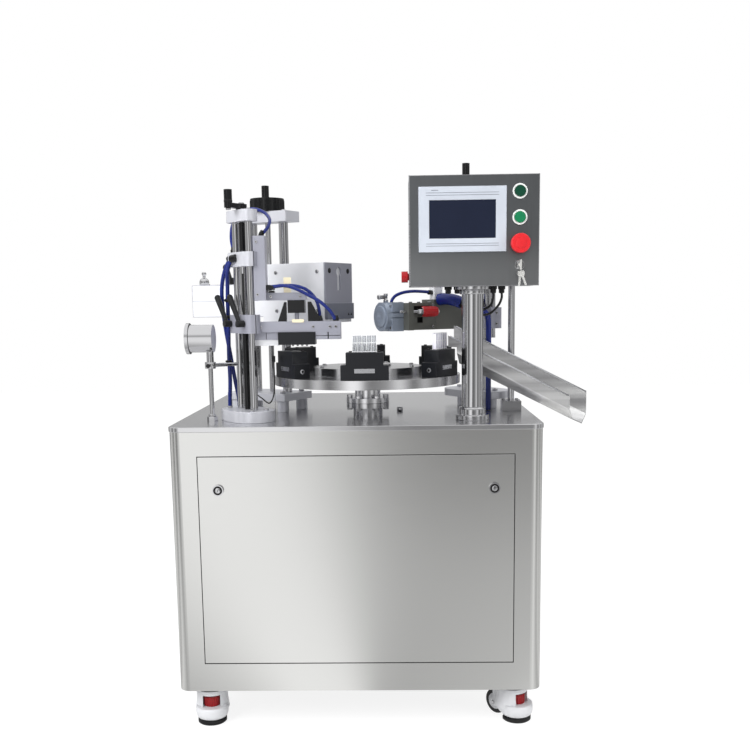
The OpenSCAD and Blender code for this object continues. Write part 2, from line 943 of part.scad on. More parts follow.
fill_clamp_w = 42;
fill_clamp_l = fill_gap + fill_clamp_w;
cover_d = 22;
cover_rise = 4;
cover_low = arm_z + cover_rise;
slide_w = 28;
slide_d = 40;
slide_h = 150;
slide_front = 9;
slide_x = fill_x - fill_gap / 2 * cos(fill_turn) + fill_col_d / 2 + face_gap;
slide_y = fill_y - fill_gap / 2 * sin(fill_turn) - slide_front;
upper_arm_w = 24;
ear_step = 4;
upper_arm_reach = 150;
upper_arm_front = 18;
upper_arm_end = fill_x + upper_arm_reach;
upper_arm_y = fill_y - upper_arm_front;
press_reach = 126;
press_x = fill_x + press_reach;
press_y = upper_arm_y + upper_arm_w / 2;
press_w = 40;
press_d = 36;
press_rod_d = 10;
rod_room = 0.5;
rod_short = 4;
arm_front = 24;
arm_y = fill_y - arm_front;
arm_end = fill_x + arm_reach;

module fill_column_bores() {
  fill_column_places()
    translate([0, 0, -1])
      cylinder(d = fill_col_d + 2 * run_fit, h = fill_top_z);
}

module fill_carriage() {
  color("lightsteelblue")
    difference() {
      union() {
        at_fill()
          translate([0, 0, upper_clamp_z])
            slot_plate(fill_clamp_l, fill_clamp_w, upper_clamp_h);
        // Cover tube of the lead screw, which guides the lower clamp block
        translate([fill_x, fill_y, cover_low])
          cylinder(d = cover_d, h = upper_clamp_z - cover_low + eps);
        translate([slide_x, slide_y, upper_arm_z])
          cube([slide_w, slide_d, slide_h]);
        translate([fill_x, upper_arm_y, upper_clamp_z + ear_step])
          cube([slide_x - fill_x + ear_step, upper_arm_w - ear_step, upper_clamp_h - 2 * ear_step]);
        translate([slide_x, upper_arm_y, upper_arm_z])
          cube([upper_arm_end - slide_x, upper_arm_w, upper_arm_t]);
      }
      fill_column_bores();
      translate([fill_x, fill_y, cover_low - 1])
        cylinder(d = screw_d + 2 * run_fit, h = fill_top_z);
      translate([press_x, press_y, upper_arm_z - 1])
        cylinder(d = press_rod_d + 2 * rod_room, h = upper_arm_t + 2);
    }
}

module fill_press() {
  color("black")
    difference() {
      translate([press_x - press_w / 2, press_y - press_d / 2, upper_arm_z - press_h])
        cube([press_w, press_d, press_h]);
      translate([press_x, press_y, upper_arm_z - press_h - 1])
        cylinder(d = press_rod_d + 2 * run_fit, h = press_h + 2);
    }
}

arm_step = 2;
end_block_h = 18;
end_block_l = 60;
end_block_side = 2;
rear_block_reach = 20;
rear_block_side = 5;
rail_h = 14;
rail_reach = 26;
rail_side = 7;

module fill_arm() {
  color("lightsteelblue")
    difference() {
      union() {
        at_fill()
          translate([0, 0, arm_z - arm_step])
            slot_plate(fill_clamp_l, fill_clamp_w, arm_clamp_h + arm_step);
        translate([fill_x, arm_y, arm_z])
          cube([arm_reach, arm_w, arm_t]);
        translate([arm_end - end_block_l, arm_y - end_block_side, arm_z - end_block_h])
          cube([end_block_l, arm_w + 2 * end_block_side, end_block_h + eps]);
        translate([fill_x + rear_block_reach, arm_y + rear_block_side, arm_z - end_block_h])
          cube([end_block_l, arm_w - 2 * rear_block_side, end_block_h + eps]);
        translate([fill_x + rail_reach, arm_y + rail_side, arm_z - end_block_h - rail_h])
          cube([nozzle_x - fill_x - rail_reach - face_gap, arm_w - 2 * rail_side, rail_h + eps]);
        // Rod of the press cylinder
        translate([press_x, press_y, arm_z + arm_t - eps])
          cylinder(d = press_rod_d, h = upper_arm_z - arm_z - arm_t - rod_short);
      }
      fill_column_bores();
      translate([fill_x, fill_y, 0])
        cylinder(d = cover_d + 2 * run_fit, h = arm_z + arm_clamp_h + 1);
      at_fill()
        for (s = [-1, 1])
          translate([s * fill_gap / 2, fill_clamp_w / 2 + 1, arm_z + arm_clamp_h / 2])
            rotate([90, 0, 0])
              cylinder(d = lever_stud_d + 2 * run_fit, h = lever_stud_l + 1);
    }
}

nozzle_reach = 82;
nozzle_x = fill_x + nozzle_reach;
nozzle_n = tube_n;
nozzle_tip = 4;
nozzle_d = 4;
nozzle_side = 6;
nozzle_front = 6;

module fill_nozzle_block() {
  color("black") {
    translate([nozzle_x, arm_y - nozzle_side, arm_z - nozzle_h])
      cube([nozzle_w - end_block_gap, arm_w + 2 * nozzle_side, nozzle_h]);
    for (k = [0 : nozzle_n - 1])
      translate([
        nozzle_x + nozzle_w / 2 + (k - (nozzle_n - 1) / 2) * tube_pitch,
        fill_y - nozzle_front,
        arm_z - nozzle_h - nozzle_tip
      ])
        cylinder(d = nozzle_d, h = nozzle_tip + 1);
  }
}
end_block_gap = max(0, nozzle_x + nozzle_w - arm_end + end_block_l + face_gap);

lever_hub_d = 16;
lever_hub_l = 18;
lever_l = 78;
lever_rise = 53;
lever_neck_d = 10;
lever_ball_d = 15;
lever_stud_d = 8;
lever_stud_l = 11;

// A clamp lever: stud in the block's side, hub, tapered arm with a round end
module fill_lever(s) {
  color("black")
    at_fill()
      translate([s * fill_gap / 2, fill_clamp_w / 2 + face_gap, arm_z + arm_clamp_h / 2]) {
        rotate([-90, 0, 0])
          cylinder(d = lever_hub_d, h = lever_hub_l);
        rotate([90, 0, 0])
          translate([0, 0, -1])
            cylinder(d = lever_stud_d, h = lever_stud_l + 1);
        translate([0, lever_hub_l - lever_hub_d / 2, 0])
          rotate([0, 90 - lever_rise, 0]) {
            cylinder(d1 = lever_neck_d, d2 = lever_ball_d, h = lever_l);
            translate([0, 0, lever_l])
              sphere(d = lever_ball_d);
          }
      }
}
module fill_lever_left() { fill_lever(1); }
module fill_lever_right() { fill_lever(-1); }

// Sealing station, back left

housing_wall = 4;
tail_r = housing_r + housing_l;
weld_top = weld_top_z + top_plate_t;
wheel_rim = 12;
wheel_dish = 8;
wheel_grip_turn = 120;

module weld_handwheel() {
  color("black")
    at_station(weld_angle)
      translate([screw_r, 0, 0]) {
        translate([0, 0, raised_top + face_gap])
          cylinder(d = screw_d, h = weld_top - raised_top + handwheel_h / 2);
        difference() {
          translate([0, 0, weld_top + face_gap])
            cylinder(d = handwheel_d, h = handwheel_h);
          translate([0, 0, weld_top + face_gap + handwheel_h - wheel_dish])
            difference() {
              cylinder(d = handwheel_d - 2 * wheel_rim, h = wheel_dish + 1);
              cylinder(d = crank_hub_d, h = wheel_dish + 1);
            }
        }
        rotate(wheel_grip_turn)
          translate([handwheel_d / 2 - wheel_rim, 0, weld_top + handwheel_h])
            cylinder(d = grip_d, h = grip_l);
      }
}

module weld_housing() {
  color("whitesmoke")
    difference() {
      union() {
        at_station(weld_angle) {
          translate([housing_r, -housing_w / 2, housing_z])
            cube([housing_l, housing_w, housing_h]);
          translate([tail_r - eps, -housing_w / 2, tail_z])
            cube([tail_l + eps, housing_w, tail_h]);
        }
      }
      at_station(weld_angle) {
        // The hollow of the tall part, open underneath for the horn
        translate([housing_r + housing_wall, -housing_w / 2 + housing_wall, housing_z - 1])
          cube([housing_hollow_l, housing_w - 2 * housing_wall, housing_h - housing_wall]);
        // The hollow of the tail, open underneath too
        translate([tail_hollow_r, -housing_w / 2 + housing_wall, tail_z - 1])
          cube([tail_hollow_l, housing_w - 2 * housing_wall, tail_h - housing_wall]);
        translate([screw_r, 0, 0])
          cylinder(d = screw_d + 2 * run_fit, h = weld_top_z);
        translate([weld_lever_r, weld_lever_y, tail_z + tail_h - weld_stud_l - 1])
          cylinder(d = weld_stud_d + 2 * run_fit, h = weld_stud_l + 2);
      }
      weld_column_places()
        cylinder(d = col_d + 2 * run_fit, h = weld_top_z);
    }
}

end_plate_t = 4;
low_plate_t = 10;
low_plate_h = 48;
low_plate_side = 2;
low_plate_rise = 8;
key_hole_d = 22;
key_slot_w = 12;
key_slot_l = 46;

module weld_end_plate() {
  at_station(weld_angle) {
    color("lightsteelblue")
      difference() {
        translate([housing_r - end_plate_t, -housing_w / 2, housing_z + low_plate_h])
          cube([end_plate_t, housing_w, housing_h - low_plate_h]);
        translate([housing_r - end_plate_t - 1, 0, housing_z + housing_h - key_hole_d])
          rotate([0, 90, 0])
            cylinder(d = key_hole_d, h = end_plate_t + 2);
        translate([
          housing_r - end_plate_t - 1, -key_slot_w / 2, housing_z + housing_h - key_hole_d - key_slot_l
        ])
          cube([end_plate_t + 2, key_slot_w, key_slot_l]);
      }
    color("gray")
      translate([housing_r - low_plate_t, -housing_w / 2 + low_plate_side, housing_z + low_plate_rise])
        cube([low_plate_t, housing_w - 2 * low_plate_side, low_plate_h - low_plate_rise]);
  }
}

horn_w = 84;
horn_t = 20;
horn_tip = 214;
horn_h = 50;
horn_shank_d = 30;

// The horn hangs inside the housing over the tubes' circle
module weld_horn() {
  color("silver")
    at_station(weld_angle) {
      translate([strip_r - horn_t / 2, -horn_w / 2, horn_tip])
        cube([horn_t, horn_w, horn_h]);
      translate([strip_r, 0, horn_tip + horn_h - eps])
        cylinder(d = horn_shank_d, h = housing_z + housing_h - housing_wall - 1 - horn_tip - horn_h + eps);
    }
}

weld_lever_reach = 130;
weld_lever_r = tail_r + weld_lever_reach;
weld_lever_y = 30;
tail_solid = 20;
tail_hollow_r = weld_lever_r + tail_solid;
tail_hollow_l = tail_end_r - housing_wall - tail_hollow_r;
housing_hollow_l = inner_col_r - col_d - housing_r - 2 * housing_wall;

weld_stud_d = 10;
weld_stud_l = 16;
weld_arm_l = 34;
weld_arm_tilt = 24;
weld_ball_d = 20;
weld_arm_sink = 4;
weld_arm_taper = 2;

// A clamp lever on an upright stud, with a ball at the end of its tilted arm
module weld_lever() {
  color("black")
    at_station(weld_angle)
      translate([weld_lever_r, weld_lever_y, tail_z + tail_h + face_gap]) {
        translate([0, 0, -weld_stud_l])
          cylinder(d = weld_stud_d, h = weld_stud_l + 1);
        cylinder(d = lever_hub_d, h = lever_hub_l);
        translate([0, 0, lever_hub_l - weld_arm_sink])
          rotate([0, weld_arm_tilt, 0]) {
            cylinder(d1 = lever_neck_d - weld_arm_taper, d2 = lever_neck_d + weld_arm_taper, h = weld_arm_l);
            translate([0, 0, weld_arm_l])
              sphere(d = weld_ball_d);
          }
      }
}

// Suction hood on its post, far left

hood_foot_d = 26;
hood_foot_h = 12;
hood_rod_d = 11;
hood_tube_d = 17;
hood_tube_z = 128;
hood_clamp_h = 16;
hood_wall = 3;
hood_ring_step = 4;
hood_ring_d = hood_d + 2 * hood_ring_step;
hood_tube_l = 30;
hood_tail = 10;
hood_ring_l = 8;
hood_pin_l = 20;
cross_bar_z = hood_tube_z + hood_clamp_h / 2;
cross_bar_d = 9;
left_col_x = fill_x + fill_gap / 2 * cos(fill_turn);
left_col_y = fill_y + fill_gap / 2 * sin(fill_turn);

module hood_post() {
  color("silver") {
    translate([hood_x, hood_y, 0]) {
      cylinder(d = hood_foot_d, h = hood_foot_h, $fn = 6);
      cylinder(d = hood_rod_d, h = hood_tube_z);
      difference() {
        translate([0, 0, hood_tube_z - eps])
          cylinder(d = hood_tube_d, h = hood_tube_l);
        translate([0, 0, hood_tube_z + hood_tube_l - hood_pin_l])
          cylinder(d = hood_rod_d + 2 * run_fit, h = hood_pin_l + 1);
      }
    }
    // Cross bar to the filling station's left column
    difference() {
      round_bar([hood_x, hood_y, cross_bar_z], [left_col_x, left_col_y, cross_bar_z], cross_bar_d);
      fill_column_places()
        cylinder(d = fill_col_d, h = fill_top_z);
      translate([hood_x, hood_y, hood_tube_z - 1])
        cylinder(d = hood_tube_d - 1, h = hood_clamp_h + 2);
    }
  }
}

// A straight round bar from one point to another
module round_bar(a, b, d) {
  v = b - a;
  translate(a)
    rotate([0, acos(v[2] / norm(v)), atan2(v[1], v[0])])
      cylinder(d = d, h = norm(v));
}

hood_seat_z = hood_tube_z + hood_tube_l + face_gap;

module hood_can() {
  color("silver")
    translate([hood_x, hood_y, 0]) {
      difference() {
        union() {
          translate([0, 0, hood_z])
            rotate([0, -90, 0]) {
              translate([0, 0, -hood_tail])
                cylinder(d = hood_d, h = hood_l + hood_tail);
              translate([0, 0, hood_l - hood_ring_l])
                cylinder(d = hood_ring_d, h = hood_ring_l);
            }
          translate([0, 0, hood_seat_z])
            cylinder(d = hood_tube_d, h = hood_z - hood_seat_z);
        }
        translate([0, 0, hood_z])
          rotate([0, -90, 0])
            translate([0, 0, hood_wall - hood_tail])
              cylinder(d = hood_d - 2 * hood_wall, h = hood_l + 2 * hood_tail);
      }
      translate([0, 0, hood_seat_z - hood_pin_l + face_gap])
        cylinder(d = hood_rod_d, h = hood_pin_l);
    }
}

// Trimming station, back right

cut_top = cut_top_z + top_plate_t;
cut_half = 36;
cut_flange_t = 14;
cut_block_l = 80;
knob_y = -50;
knob_rise = 46;
knob_z = cut_z + knob_rise;
knob_out = 29;
rod_d = 7;
rod_back = 20;
rod_l = 64;
guide_edge = 12;
cut_body_step = 6;
cut_body_rise = 8;
cut_clamp_w = 62;
cut_clamp_drop = 14;
stop_ear_w = 32;
stop_ear_l = 40;
stop_ear_edge = 14;
stop_rod_low = 24;
stop_rod_l = 136;
valve_block_w = 24;
valve_block_h = 36;
valve_block_edge = 4;
slot_edge = 4;
slot_end = 8;
slot_cut = 13;
slot_h = 18;
slot_low = 4;
window_edge = 26;
window_cut = 11;
window_low = 28;
square_w = 16;
square_h = 14;
cap_l = 14;
cyl_drop = 2;
groove_deep = 3;
groove_w = 3;
groove_rises = [32, 45];
flange_r = cyl_l;
block_r = cyl_l + cut_flange_t;
body_r = block_r + cut_block_l;

module cut_crank() {
  color("black")
    at_station(cut_angle)
      translate([cut_r, 0, 0])
        crank(raised_top, cut_top, crank_turn_cut - cut_angle);
}

stop_rod_y = -74;
stop_rod_d = 11;

module cut_carriage() {
  color("dimgray")
    at_station(cut_angle)
      difference() {
        union() {
          // Mounting flange of the air cylinder, wide enough to guide the rod
          translate([flange_r, knob_y - guide_edge, cut_z])
            cube([cut_flange_t, cut_half - knob_y + guide_edge, cut_h]);
          translate([block_r - eps, -cut_half, cut_z])
            cube([cut_block_l + eps, 2 * cut_half, cut_h]);
          translate([body_r - eps, -cut_half + cut_body_step, cut_z])
            cube([cut_r - body_r, 2 * (cut_half - cut_body_step), cut_h + cut_body_rise]);
          translate([cut_r, 0, cut_z])
            rotate(90)
              slot_plate(cut_gap + cut_clamp_w, cut_clamp_w, cut_h - cut_clamp_drop);
          translate([cut_r - stop_ear_w / 2, stop_rod_y - stop_ear_edge, cut_z])
            cube([stop_ear_w, stop_ear_l, cut_h - cut_clamp_drop]);
          translate([cut_r, stop_rod_y, cut_z - stop_rod_low])
            cylinder(d = stop_rod_d, h = stop_rod_l);
          translate([
            body_r + valve_block_edge,
            -cut_half + cut_body_step + valve_block_edge,
            cut_z + cut_h + cut_body_rise - eps
          ])
            cube([valve_block_w, valve_block_w, valve_block_h]);
        }
        for (s = [-1, 1])
          translate([cut_r, s * cut_gap / 2, 0])
            cylinder(d = col_d + 2 * run_fit, h = cut_top_z);
        translate([cut_r, 0, 0])
          cylinder(d = screw_d + 2 * run_fit, h = cut_top_z);
        translate([flange_r - 1, knob_y, knob_z])
          rotate([0, 90, 0])
            cylinder(d = rod_d + 2 * run_fit, h = cut_flange_t + 2);
        // Slot and square hole in the block's front
        translate([block_r + slot_edge, -cut_half - 1, knob_z - slot_low])
          cube([cut_block_l - slot_edge - slot_end, slot_cut + 1, slot_h]);
        translate([block_r + window_edge, -cut_half - 1, knob_z - window_low])
          cube([square_w, window_cut + 1, square_h]);
      }
}

module cut_cylinder() {
  color("lightsteelblue")
    at_station(cut_angle) {
      difference() {
        translate([cyl_tip + cap_l, -cyl_w / 2, cut_z - cyl_drop])
          cube([cyl_l - cyl_tip - cap_l, cyl_w, cyl_w]);
        for (rise = groove_rises)
          translate([cyl_tip + cap_l - 1, -cyl_w / 2 - 1, cut_z - cyl_drop + rise])
            cube([cyl_l - cyl_tip - cap_l + 2, groove_deep + 1, groove_w]);
      }
      translate([cyl_tip, 0, cut_z - cyl_drop + cyl_w / 2])
        rotate([0, 90, 0])
          cylinder(d = cyl_w, h = cap_l + eps);
    }
}

module cut_knob() {
  color("firebrick")
    at_station(cut_angle)
      translate([0, knob_y, knob_z])
        rotate([0, 90, 0]) {
          translate([0, 0, flange_r - rod_back])
            cylinder(d = rod_d, h = rod_l);
          translate([0, 0, flange_r + cut_flange_t + knob_out])
            cylinder(d = knob_d, h = knob_l);
        }
}

// Chute

chute_low = 20;
chute_high = 26;
chute_ref_x = 305;
chute_ref_z = 103;
chute_x0 = 200;
chute_run = 430;
tip_cut = 31;
fold_share = 0.414;
strip_room = 4;
disc_room = 5;

module chute() {
  t = chute_t;
  w = chute_w;
  c = fold_share;
  outer = [
    [0, chute_front_h], [0, chute_low], [chute_low, 0],
    [w - chute_high, 0], [w, chute_high], [w, chute_back_h]
  ];
  inner = [
    [w - t, chute_back_h], [w - t, chute_high + c * t], [w - chute_high - c * t, t],
    [chute_low + c * t, t], [t, chute_low + c * t], [t, chute_front_h]
  ];
  color("silver")
    difference() {
      translate([chute_ref_x, chute_y, chute_ref_z])
        rotate([0, chute_slope, 0])
          translate([(chute_x0 - chute_ref_x) / cos(chute_slope), 0, 0])
            rotate([90, 0, 90])
              linear_extrude(chute_run / cos(chute_slope))
                polygon(concat(outer, inner));
      // Upper end trimmed clear of the fixtures and of the tubes in them
      translate([disc_x, disc_y, 0])
        cylinder(r = strip_r + tube_d + strip_room, h = cut_top_z, $fn = 96);
      translate([disc_x, disc_y, 0])
        cylinder(r = disc_r + disc_room, h = disc_top + fixture_h + strip_room, $fn = 96);
      // Lower end cut on the slant, longest at the back
      translate([chute_tip, chute_y + w, -chute_run])
        rotate(-tip_cut)
          translate([0, -3 * w, 0])
            cube([3 * w, 4 * w, 2 * chute_run]);
    }
}

chute_post_x = 392;
chute_post_y = 297;
foot_w = 49;
foot_h = 26;
bracket_z = 108;
bracket_h = 26;
bracket_w = 34;

module chute_post() {
  color("silver")
    translate([chute_post_x, chute_post_y, 0]) {
      translate([-foot_w / 2, -foot_w / 2, 0])
        cube([foot_w, foot_w, foot_h]);
      cylinder(d = chute_post_d, h = chute_post_h);
      translate([-bracket_w / 2, chute_y + chute_w - chute_post_y, bracket_z])
        cube([bracket_w, chute_post_y - chute_y - chute_w + bracket_w / 2, bracket_h]);
    }
}

// Control box on its post

box_left = post_x - box_w / 2;
box_front = box_y + box_t;
post_flange_d = 80;
post_collar_d = 64;
post_flange_t = 12;
post_collar_t = 26;
post_wall = 3;
post_head_t = 8;
hmi_left = 21;
hmi_rise = 77;
hmi_x = box_left + hmi_left;
hmi_z = box_z + hmi_rise;
hmi_bezel_t = 7;
hmi_back = 38;
hmi_cut = 4;
hmi_fit = 0.5;
screen_deep = 1;
button_right = 44;
button_x = box_left + box_w - button_right;
start_rise = 211;
run_rise = 153;
stop_rise = 94;
key_rise = 46;
start_z = box_z + start_rise;
run_z = box_z + run_rise;
stop_z = box_z + stop_rise;
key_z = box_z + key_rise;
ring_t = 5;
button_stem_d = 16;
button_stem_l = 26;
button_wall = 2;
button_tail = 14;
cap_room = 0.5;
cap_out = 1;
cap_in = 0.6;
side_button_back = 36;
side_button_rise = 23;
side_button_y = box_front + side_button_back;
side_button_z = box_z + side_button_rise;
side_button_d = 26;
side_button_h = 16;
door_room = 0.5;
door_over = 1;

module control_post() {
  color("silver")
    translate([post_x, post_y, 0])
      difference() {
        union() {
          cylinder(d = post_d, h = box_z);
          cylinder(d = post_flange_d, h = post_flange_t);
          cylinder(d = post_collar_d, h = post_collar_t);
          translate([0, 0, box_z - post_head_t])
            cylinder(d = post_flange_d, h = post_head_t);
        }
        translate([0, 0, -1])
          cylinder(d = post_d - 2 * post_wall, h = box_z + 2);
      }
}

module box_body() {
  color("gray")
    difference() {
      translate([box_left, box_front + door_room, box_z])
        cube([box_w, box_d, box_h]);
      translate([box_left + box_t, box_front, box_z + box_t])
        cube([box_w - 2 * box_t, box_d - box_t, box_h - 2 * box_t]);
      translate([post_x, post_y, box_z - 1])
        cylinder(d = post_d - 2 * post_wall, h = box_t + 2);
      translate([box_left - 1, side_button_y, side_button_z])
        rotate([0, 90, 0])
          cylinder(d = button_stem_d + 2 * run_fit, h = box_t + 2);
    }
}

module door_holes() {
  for (z = [start_z, run_z, stop_z])
    translate([button_x, box_y - 1, z])
      rotate([-90, 0, 0])
        cylinder(d = button_stem_d + 2 * button_wall, h = box_t + 2);
  translate([button_x, box_y - 1, key_z])
    rotate([-90, 0, 0])
      cylinder(d = lock_body_d, h = box_t + 2);
}

module box_door() {
  color("dimgray")
    difference() {
      translate([box_left - door_over, box_y, box_z - door_over])
        cube([box_w + 2 * door_over, box_t, box_h + 2 * door_over]);
      translate([hmi_x + hmi_cut, box_y - 1, hmi_z + hmi_cut])
        cube([hmi_w - 2 * hmi_cut, box_t + 2, hmi_h - 2 * hmi_cut]);
      door_holes();
    }
}

module hmi_panel() {
  color("whitesmoke")
    difference() {
      union() {
        translate([hmi_x, box_y - hmi_bezel_t, hmi_z])
          cube([hmi_w, hmi_bezel_t, hmi_h]);
        translate([hmi_x + hmi_cut + hmi_fit, box_y - eps, hmi_z + hmi_cut + hmi_fit])
          cube([hmi_w - 2 * (hmi_cut + hmi_fit), hmi_back, hmi_h - 2 * (hmi_cut + hmi_fit)]);
      }
      translate([hmi_x + (hmi_w - screen_w) / 2, box_y - hmi_bezel_t - 1, hmi_z + (hmi_h - screen_h) / 2])
        cube([screen_w, screen_deep + 1, screen_h]);
    }
}

key_slot_d = 8;
lock_ring_d = 22;
lock_body_d = 14;
lock_bore_end = 7;

// Rings of the buttons and the key lock's cylinder, screwed through the door
module button_bezels() {
  color("white") {
    for (z = [start_z, run_z, stop_z])
      translate([button_x, box_y - ring_t, z])
        rotate([-90, 0, 0])
          difference() {
            union() {
              cylinder(d = button_ring_d, h = ring_t);
              cylinder(d = button_stem_d + 2 * button_wall, h = ring_t + box_t + button_tail);
            }
            translate([0, 0, -1])
              cylinder(d = button_stem_d + 2 * run_fit, h = ring_t + box_t + button_tail + 2);
            translate([0, 0, -1])
              cylinder(d = button_d + 2 * cap_room, h = ring_t);
          }
    translate([button_x, box_y - ring_t, key_z])
      rotate([-90, 0, 0])
        difference() {
          union() {
            cylinder(d = lock_ring_d, h = ring_t);
            cylinder(d = lock_body_d, h = ring_t + box_t + button_tail);
          }
          translate([0, 0, -1])
            cylinder(d = key_slot_d + 2 * run_fit, h = ring_t + box_t + lock_bore_end + 1);
        }
  }
}

// A push button: cap in its ring, with a stem through the ring
module push_button(z) {
  translate([button_x, box_y - ring_t, z])
    rotate([-90, 0, 0]) {
      translate([0, 0, -button_travel - cap_out])
        cylinder(d = button_d, h = button_travel + cap_out + cap_in);
      translate([0, 0, -cap_out])
        cylinder(d = button_stem_d, h = button_stem_l);
    }
}

module start_button() { color("darkgreen") push_button(start_z); }
module run_button() { color("mediumseagreen") push_button(run_z); }

stop_head_h = 18;
stop_neck_h = 8;

module stop_button() {
  color("red")
    translate([button_x, box_y - ring_t, stop_z])
      rotate([-90, 0, 0]) {
        translate([0, 0, -stop_neck_h - stop_head_h])
          cylinder(d = stop_d, h = stop_head_h);
        translate([0, 0, -stop_neck_h - eps])
          cylinder(d = button_stem_d, h = button_stem_l + stop_neck_h);
      }
}

module side_button() {
  color("firebrick")
    translate([box_left, side_button_y, side_button_z])
      rotate([0, -90, 0]) {
        translate([0, 0, button_travel + cap_out])
          cylinder(d = side_button_d, h = side_button_h - cap_out);
        translate([0, 0, -button_stem_l / 2])
          cylinder(d = button_stem_d, h = button_stem_l / 2 + button_travel + 2 * cap_out);
      }
}

key_t = 2.5;
key_bow = 22;
key_out = 10;
key_in = 4;
key_sink = 2;

module lock_key() {
  color("gold")
    translate([button_x, box_y - ring_t, key_z]) {
      rotate([-90, 0, 0])
        translate([0, 0, -key_out])
          cylinder(d = key_slot_d, h = key_out + ring_t + box_t + key_in);
      translate([-key_t / 2, -key_out - key_bow + key_sink, -key_bow / 2])
        cube([key_t, key_bow, key_bow]);
    }
}

// Air hoses

hose_d = 8;
riser_d = 10;
hose_side = [0.6, -0.8, 0];
riser_points = [
  [-322, 210, 0.5], [-322, 210, 40], [-318, 200, 95], [-317, 188, 155], [-318, 180, 220],
  [-318, 178, 275], [-314, 166, 322], [-306, 146, 358], [-296, 130, 380], [-288, 122, 387], [-281, 119, 388]
];
second_riser_points = [
  [-300, 217, 0.5], [-300, 217, 40], [-308, 212, 95], [-316, 206, 155], [-325, 200, 220],
  [-330, 196, 275], [-330, 194, 320], [-322, 190, 356], [-308, 185, 384], [-298, 182, 392]
];
loop_points = [
  [-294.5, 175, 402.4], [-297, 182, 415], [-302, 194, 440], [-300, 206, 470], [-285, 212, 495],
  [-262, 208, 508], [-238, 200, 507], [-218, 186, 498], [-206, 166, 486],
  [-201, 146, 474], [-205, 130, 458], [-214, 122, 446], [-220, 120, 438.4]
];
arch_points = [
  [-208, 108, 318], [-188, 108, 321], [-165, 105, 322], [-140, 105, 315], [-112, 106, 301],
  [-84, 108, 285], [-62, 110, 265], [-50, 114, 247], [-46, 118, 238]
];
second_arch_points = [
  [-208, 128, 318], [-186, 128, 321], [-160, 126, 323], [-134, 126, 320], [-112, 127, 310],
  [-94, 128, 290], [-87, 129, 267], [-85, 130, 250], [-85, 130, 238]
];
cut_hose_points = [
  [86, 250, 280], [89, 252, 288], [98, 257, 297], [116, 266, 304],
  [140, 279, 307], [168, 298, 306], [190, 312.6, 304]
];

module fill_hoses() {
  color("royalblue") {
    hose(riser_points, riser_d, hose_side);
    hose(second_riser_points, riser_d, hose_side);
  }
}

module loop_hose() {
  color("royalblue")
    hose(loop_points, hose_d, [0.8, 0.6, 0]);
}

module head_hoses() {
  color("royalblue") {
    hose(arch_points, hose_d, [0, 1, 0]);
    hose(second_arch_points, hose_d, [0, 1, 0]);
  }
}

module cutter_hoses() {
  color("royalblue")
    hose(cut_hose_points, hose_d, [-0.5, 0.8, 0]);
}

placed() cabinet_shell();
placed() table_top();
placed() bottom_frame();
placed() rear_panel();
placed() cable_gland();
placed() front_panel();
placed() panel_lock_left();
placed() panel_lock_right();
placed() caster_plates();
placed() caster_fork_front_left();
placed() caster_fork_front_right();
placed() caster_fork_back_left();
placed() caster_fork_back_right();
placed() caster_wheel_front_left();
placed() caster_wheel_front_right();
placed() caster_wheel_back_left();
placed() caster_wheel_back_right();
placed() index_drive();
placed() valve_plate();
placed() spindle_flange();
placed() turntable_disc();
placed() tube_fixtures();
placed() tube_strips();
placed() guide_columns();
placed() column_top_plates();
placed() station_bases();
placed() fill_crank();
placed() fill_carriage();
placed() fill_press();
placed() fill_arm();
placed() fill_nozzle_block();
placed() fill_lever_left();
placed() fill_lever_right();
placed() weld_handwheel();
placed() weld_housing();
placed() weld_end_plate();
placed() weld_horn();
placed() weld_lever();
placed() hood_post();
placed() hood_can();
placed() cut_crank();
placed() cut_carriage();
placed() cut_cylinder();
placed() cut_knob();
placed() chute();
placed() chute_post();
placed() control_post();
placed() box_body();
placed() box_door();
placed() hmi_panel();
placed() button_bezels();
placed() start_button();
placed() run_button();
placed() stop_button();
placed() side_button();
placed() lock_key();
placed() fill_hoses();
placed() loop_hose();
placed() head_hoses();
placed() cutter_hoses();
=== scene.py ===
import json
import math

import bmesh
import bpy
from mathutils import Matrix, Vector

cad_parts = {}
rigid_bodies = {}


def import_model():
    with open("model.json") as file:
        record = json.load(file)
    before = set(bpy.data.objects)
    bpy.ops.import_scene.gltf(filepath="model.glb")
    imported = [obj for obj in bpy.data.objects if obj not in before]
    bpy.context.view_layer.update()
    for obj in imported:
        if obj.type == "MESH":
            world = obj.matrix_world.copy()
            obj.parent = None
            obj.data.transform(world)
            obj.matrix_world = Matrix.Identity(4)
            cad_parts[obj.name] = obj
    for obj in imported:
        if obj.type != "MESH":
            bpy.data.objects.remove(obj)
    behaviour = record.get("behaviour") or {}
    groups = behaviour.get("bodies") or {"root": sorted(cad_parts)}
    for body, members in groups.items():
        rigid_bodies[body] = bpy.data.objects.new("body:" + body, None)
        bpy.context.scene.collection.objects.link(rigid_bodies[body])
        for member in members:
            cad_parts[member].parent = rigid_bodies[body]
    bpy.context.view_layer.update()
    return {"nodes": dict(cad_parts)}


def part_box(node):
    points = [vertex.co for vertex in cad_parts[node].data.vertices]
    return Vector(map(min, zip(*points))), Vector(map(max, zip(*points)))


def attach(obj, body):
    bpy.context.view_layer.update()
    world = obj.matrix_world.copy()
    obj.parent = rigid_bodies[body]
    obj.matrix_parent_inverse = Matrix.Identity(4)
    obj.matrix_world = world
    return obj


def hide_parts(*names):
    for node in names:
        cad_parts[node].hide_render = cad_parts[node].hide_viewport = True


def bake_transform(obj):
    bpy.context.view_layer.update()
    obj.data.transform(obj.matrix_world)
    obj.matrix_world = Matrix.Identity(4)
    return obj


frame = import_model()
scene = bpy.context.scene
scene.view_settings.view_transform = "Standard"


